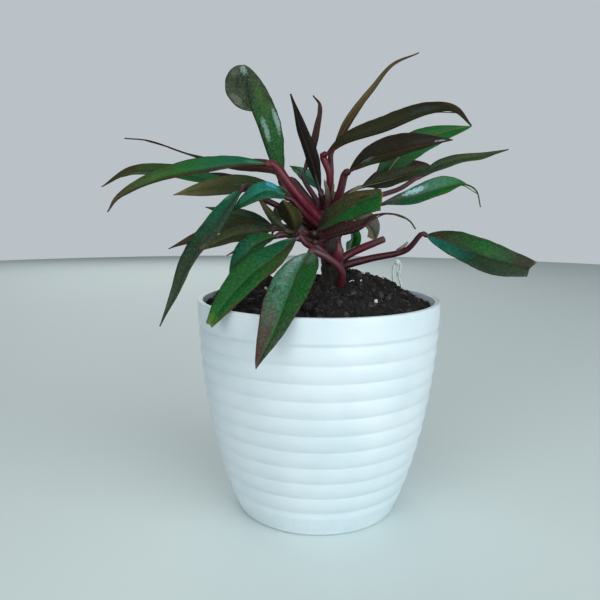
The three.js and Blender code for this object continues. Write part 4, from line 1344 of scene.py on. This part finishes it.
def scatter_recipe(name, shape, **sizes):
    """Crumbs or fibres thrown over a ground, turned and sized at random, then made uneven."""
    made = Recipe(name, **sizes)
    size = made.size
    throw = made.add("GeometryNodeDistributePointsOnFaces", {
        "Mesh": made.given.outputs["Ground"], "Density": size("per_square_metre"),
        "Seed": size("seed")})
    if shape == "crumb":
        form = made.add("GeometryNodeMeshIcoSphere", {
            "Radius": 1.0, "Subdivisions": size("detail")}).outputs["Mesh"]
    else:
        bow = made.add("GeometryNodeCurveQuadraticBezier", {
            "Resolution": 7, "Start": (-1, 0, 0), "Middle": (0.1, 0.7, 0.3), "End": (1, -0.1, 0)})
        round_end = made.add("GeometryNodeCurvePrimitiveCircle", {
            "Resolution": 4, "Radius": size("fibre_width")})
        form = made.add("GeometryNodeCurveToMesh", {
            "Curve": bow.outputs["Curve"], "Profile Curve": round_end.outputs["Curve"],
            "Fill Caps": True}).outputs["Mesh"]

    def chance(low, high, salt, kind="FLOAT"):
        node = made.add("FunctionNodeRandomValue", data_type=kind)
        for place, value in (("Min", low), ("Max", high), ("Seed", size("seed") + salt)):
            sockets = [s for s in node.inputs if s.name == place and s.enabled]
            feed(made.tree, sockets[0], value)
        return next(s for s in node.outputs if s.enabled)

    lean = size("lean")
    turn = made.add("ShaderNodeCombineXYZ", {
        "X": Number(made.tree, chance(-1.0, 1.0, 1)) * lean,
        "Y": Number(made.tree, chance(-1.0, 1.0, 2)) * lean,
        "Z": Number(made.tree, chance(-3.14, 3.14, 3))})
    across = Number(made.tree, chance(0.0, 1.0, 4)) ** 2.2
    across = (size("smallest") + (size("largest") - size("smallest")) * across) * MM
    grow = made.add("ShaderNodeCombineXYZ", {
        "X": across, "Y": across * Number(made.tree, chance(0.6, 1.0, 5)),
        "Z": across * size("flatness")})
    copies = made.add("GeometryNodeInstanceOnPoints", {
        "Points": throw.outputs["Points"], "Instance": form, "Rotation": turn.outputs[0],
        "Scale": grow.outputs[0]})
    toned = made.add("GeometryNodeStoreNamedAttribute", {
        "Geometry": copies.outputs[0], "Name": "tone"}, data_type="FLOAT", domain="INSTANCE")
    value = next(s for s in toned.inputs if s.name == "Value" and s.enabled)
    made.tree.links.new(chance(0.0, 1.0, 6), value)
    real = made.add("GeometryNodeRealizeInstances", {"Geometry": toned.outputs[0]})
    where = made.add("GeometryNodeInputPosition").outputs[0]
    lumps = made.add("ShaderNodeTexNoise", {
        "Vector": where, "Scale": 1 / (size("lump_size") * MM), "Detail": 1.0})
    middle = made.add("ShaderNodeVectorMath", {0: lumps.outputs["Color"], 1: (0.5, 0.5, 0.5)},
                      operation="SUBTRACT")
    push = made.add("ShaderNodeVectorMath", {
        0: middle.outputs[0], "Scale": size("unevenness") * MM}, operation="SCALE")
    uneven = made.add("GeometryNodeSetPosition", {
        "Geometry": real.outputs[0], "Offset": push.outputs[0]})
    soft = made.add("GeometryNodeSetShadeSmooth", {
        "Geometry": uneven.outputs[0], "Shade Smooth": size("rounded").reckon("GREATER_THAN", 0.5)})
    made.end_with(soft.outputs[0])
    return made


def soil_ground(reach, sink):
    """The open top of the mound as far out as reach, to throw crumbs on."""
    rings = mound_rings(np.linspace(reach, 0.6, 60), 120)
    rings[..., 2] -= sink
    rows, sides, _ = rings.shape
    numbers = np.arange(rows * sides).reshape(rows, sides)
    after = np.roll(numbers, -1, axis=1)
    faces = np.stack([numbers[:-1], after[:-1], after[1:], numbers[1:]], -1).reshape(-1, 4)
    mesh = bpy.data.meshes.new("soil_ground")
    mesh.from_pydata((rings.reshape(-1, 3) * MM).tolist(), [], faces.tolist())
    mesh.update()
    return mesh


def scattered(name, recipe, material, reach, sink=0.0):
    mesh = recipe.make(name, material, soil_ground(reach, sink))
    return as_piece(mesh, name, material, "soil")


def make_crumbs(material):
    """Peat crumbs in two sizes, bark chips and root fibres."""
    common = dict(lean=3.0, flatness=0.75, lump_size=1.4, rounded=1.0)
    small = scatter_recipe("fine_peat", "crumb", per_square_metre=520000.0, seed=3, detail=1,
                           smallest=0.25, largest=1.0, unevenness=0.5, **common)
    large = scatter_recipe("coarse_peat", "crumb", per_square_metre=95000.0, seed=8, detail=2,
                           smallest=0.8, largest=2.6, unevenness=1.4, **common)
    chips = scatter_recipe("bark_chips", "crumb", per_square_metre=2600.0, seed=21, detail=2,
                           smallest=1.2, largest=3.2, unevenness=1.6, lean=0.9, flatness=0.3,
                           lump_size=1.4, rounded=0.0)
    fibres = scatter_recipe("root_fibres", "fibre", per_square_metre=9000.0, seed=34,
                            fibre_width=0.07, smallest=1.0, largest=4.0, unevenness=1.2, lean=0.5,
                            flatness=0.8, lump_size=3.0, rounded=1.0)
    edge = float(inner_radius(SOIL_WALL_LEVEL))
    scattered("fine_peat", small, material, edge - 1.6, 0.1)
    scattered("coarse_peat", large, material, edge - 3.2, 0.5)
    scattered("bark_chips", chips, soil_finish("bark_finish", "bark", "soil_light"), edge - 4.5)
    scattered("root_fibres", fibres, soil_finish("fibre_finish", "bark", "brown"), edge - 5, -0.5)


def soil_finish(name="soil_finish", dark="soil_dark", light="soil_brown"):
    """Damp dark peat, browner and duller where it has begun to dry."""
    material, tree, shader = new_finish(name)
    place = object_place(tree)
    tone = attribute(tree, "tone")
    broad = clouds(tree, place, 8, 3, 0.6)
    fine = clouds(tree, place, 0.7, 5, 0.7)
    face = tint(tree, (broad + (tone - 0.5) * 0.5).between(0.3, 0.75), dark, light)
    face = tint(tree, (fine + (tone - 0.6) * 0.3).between(0.55, 0.72) * 0.9, face, "soil_light")
    face = tint(tree, fine.between(0.5, 0.25) * 0.7, face, "soil_dark")
    give(tree, shader, face, 0.72 + fine * 0.26, fine, 0.5)
    return material


# White mineral grains and a pale fibre on the mound: place and size
PERLITE = [
    ((-28.1, 4.5, 116.4), 0.9), ((-26.8, -0.5, 116.5), 0.8), ((27.3, -27.5, 114.8), 0.9),
    ((22.4, 0, 121.6), 0.6), ((36.5, 19.0, 121.0), 0.7), ((-12, -31, 115.0), 0.7),
    ((-44, 10, 113.5), 0.8), ((9, 38, 114.6), 0.8), ((-20, 42, 113.2), 0.9), ((44, -8, 112.4), 0.7),
]
PALE_FIBRE = [(16.0, -2.4, 121.4), (17.6, -1, 122.0), (19.4, 0.6, 121.4)]


def add_ball(skin, centre, radius, seed, uneven=0.3):
    """A lumpy grain."""
    turns = np.linspace(0, 2 * math.pi, 18, endpoint=False)
    tilts = np.linspace(-math.pi / 2 + 0.08, math.pi / 2 - 0.08, 12)
    flat = np.cos(tilts)[:, None]
    ball = np.stack([flat * np.cos(turns), flat * np.sin(turns),
                     np.sin(tilts)[:, None] + 0 * turns], -1)
    lumps = 1 + uneven * rough(ball, 0.8, seed)
    skin.add_rings(np.array(centre) + ball * lumps[..., None] * radius)


def make_grains(material):
    skin = Skin()
    for seed, ((x, y, z), radius) in enumerate(PERLITE):
        z = max(z, float(soil_level(x, y)) + radius * 0.3)
        add_ball(skin, (x, y, z), radius, seed, 0.45)
    skin.add_rings(rings_along(PALE_FIBRE, lambda share: 0.22, 8, 24))
    return skin.piece("mineral_grains", material, "soil")


def perlite_finish():
    """Chalky white grains, stained here and there by the peat."""
    material, tree, shader = new_finish("perlite_finish")
    place = object_place(tree)
    fine = clouds(tree, place, 0.6, 4, 0.6)
    face = tint(tree, fine.between(0.5, 0.8) * 0.7, "perlite", "soil_light")
    give(tree, shader, face, 0.8 + fine * 0.15, fine, 0.3)
    return material


# The bent white wire

WIRE_PATH = [
    (44, 31, 104), (44, 31, 116), (44, 31, 126), (46, 31, 130), (48, 31, 127), (47, 31, 121),
    (49, 31, 114), (49, 31, 104),
]
WIRE_RADIUS = 0.6
WIRE_KNOT = (47, 31, 122)
WIRE_TOP = (46, 31, 128.5)
WIRE_BEAD = 1.25
BINDING_TURNS = 3
BINDING_RADIUS = 0.95
BINDING_LENGTH = 2.4
BINDING_THICKNESS = 0.35


def make_wire(material):
    """A plastic-coated wire with a loop at the top and a twist where it is bound."""
    skin = Skin()
    skin.add_rings(rings_along(WIRE_PATH, lambda share: WIRE_RADIUS, 14, 160, (0, -1, 0)))
    turns = np.linspace(0, 2 * math.pi * BINDING_TURNS, 40)
    binding = np.array(WIRE_KNOT) + np.stack([
        BINDING_RADIUS * np.cos(turns), BINDING_RADIUS * np.sin(turns),
        BINDING_LENGTH * (turns / turns[-1] - 0.5)], -1)
    skin.add_rings(rings_along(binding, lambda share: BINDING_THICKNESS, 10, 240))
    add_ball(skin, WIRE_TOP, WIRE_BEAD, 5, 0.25)
    return skin.piece("coated_wire", material, "wire", "white_wire")


def wire_finish():
    material, tree, shader = new_finish("white_wire_finish", coat_weight=0.2, coat_roughness=0.3)
    place = object_place(tree)
    fine = clouds(tree, place, 0.9, 3, 0.6)
    face = tint(tree, fine.between(0.55, 0.8) * 0.4, "wire_white", "dry_grey")
    give(tree, shader, face, 0.4 + fine * 0.25, fine, 0.1)
    return material


# The whole plant

def make_plant():
    make_pot()
    peat = soil_finish()
    make_soil(peat)
    make_crumbs(peat)
    make_grains(perlite_finish())
    make_wire(wire_finish())
    skin_red = stalk_finish()
    make_stem(stem_finish())
    make_stalks(skin_red)
    make_shoots(skin_red)
    make_bud(skin_red)
    make_sheaths(skin_red)
    for seed, (name, one) in enumerate(LEAVES.items()):
        make_blade(name, one, seed)


# The room: a pale floor, soft light and the camera

FLOOR_REACH = 1.6
LIGHT_AIM = (0, 0, 0.12)
# How bright the plain backdrop looks, and how much light it gives
BACKDROP = 0.62
ROOM_LIGHT = 0.28
# Each light: its name, its place and width in metres, its power in watts and its colour
LIGHTS = [
    ("window", (0.8, -0.9, 0.4), 1.2, 12.5, (0.9, 0.97, 1.0)),
    ("ceiling", (-0.1, -0.5, 1.2), 1.0, 2.6, (0.97, 0.99, 1.0)),
    ("side", (-0.6, -1.2, 0.55), 1.0, 6.0, (0.97, 0.99, 1.0)),
    ("rear", (-0.3, 1.2, 0.7), 1.0, 4.0, (0.97, 0.99, 1.0)),
]


def make_floor():
    mesh = bpy.data.meshes.new("floor")
    turns = np.linspace(0, 2 * math.pi, 64, endpoint=False)
    corners = [(FLOOR_REACH * math.cos(t), FLOOR_REACH * math.sin(t), 0.0) for t in turns]
    mesh.from_pydata(corners, [], [list(range(len(corners)))])
    floor = bpy.data.objects.new("floor", mesh)
    bpy.context.scene.collection.objects.link(floor)
    material, tree, shader = new_finish("floor_finish")
    place = object_place(tree)
    broad = clouds(tree, place, 120, 3)
    tree.links.new(tint(tree, broad * 0.12, "floor_pale", "pot_shade"), shader.inputs["Base Color"])
    feed(tree, shader.inputs["Roughness"], 0.6 + broad * 0.1)
    mesh.materials.append(material)


def make_lights():
    world = bpy.data.worlds.new("room")
    bpy.context.scene.world = world
    world.use_nodes = True
    tree = world.node_tree
    background = tree.nodes["Background"]
    background.inputs["Color"].default_value = (0.80, 0.87, 0.92, 1)
    seen = Number(tree, tree.nodes.new("ShaderNodeLightPath").outputs["Is Camera Ray"])
    feed(tree, background.inputs["Strength"], ROOM_LIGHT + seen * (BACKDROP - ROOM_LIGHT))
    bpy.context.scene.view_settings.view_transform = "Standard"
    for name, place, across, power, tone in LIGHTS:
        data = bpy.data.lights.new(name, "AREA")
        data.size = across
        data.energy = power
        data.color = tone
        lamp = bpy.data.objects.new(name, data)
        bpy.context.scene.collection.objects.link(lamp)
        aim = Vector(LIGHT_AIM) - Vector(place)
        turned = aim.to_track_quat("-Z", "Y").to_matrix().to_4x4()
        lamp.matrix_world = Matrix.Translation(place) @ turned


def make_camera():
    data = bpy.data.cameras.new("camera")
    data.lens = CAMERA_LENS
    data.sensor_width = CAMERA_SENSOR
    data.clip_start = 0.01
    camera = bpy.data.objects.new("camera", data)
    bpy.context.scene.collection.objects.link(camera)
    tipped = Matrix.Rotation(math.pi / 2 - CAMERA_DIP, 4, "X")
    rolled = Matrix.Rotation(CAMERA_ROLL, 4, "Z")
    camera.matrix_world = Matrix.Translation(CAMERA_PLACE) @ tipped @ rolled
    bpy.context.scene.camera = camera


make_camera()
make_lights()
make_floor()
make_plant()
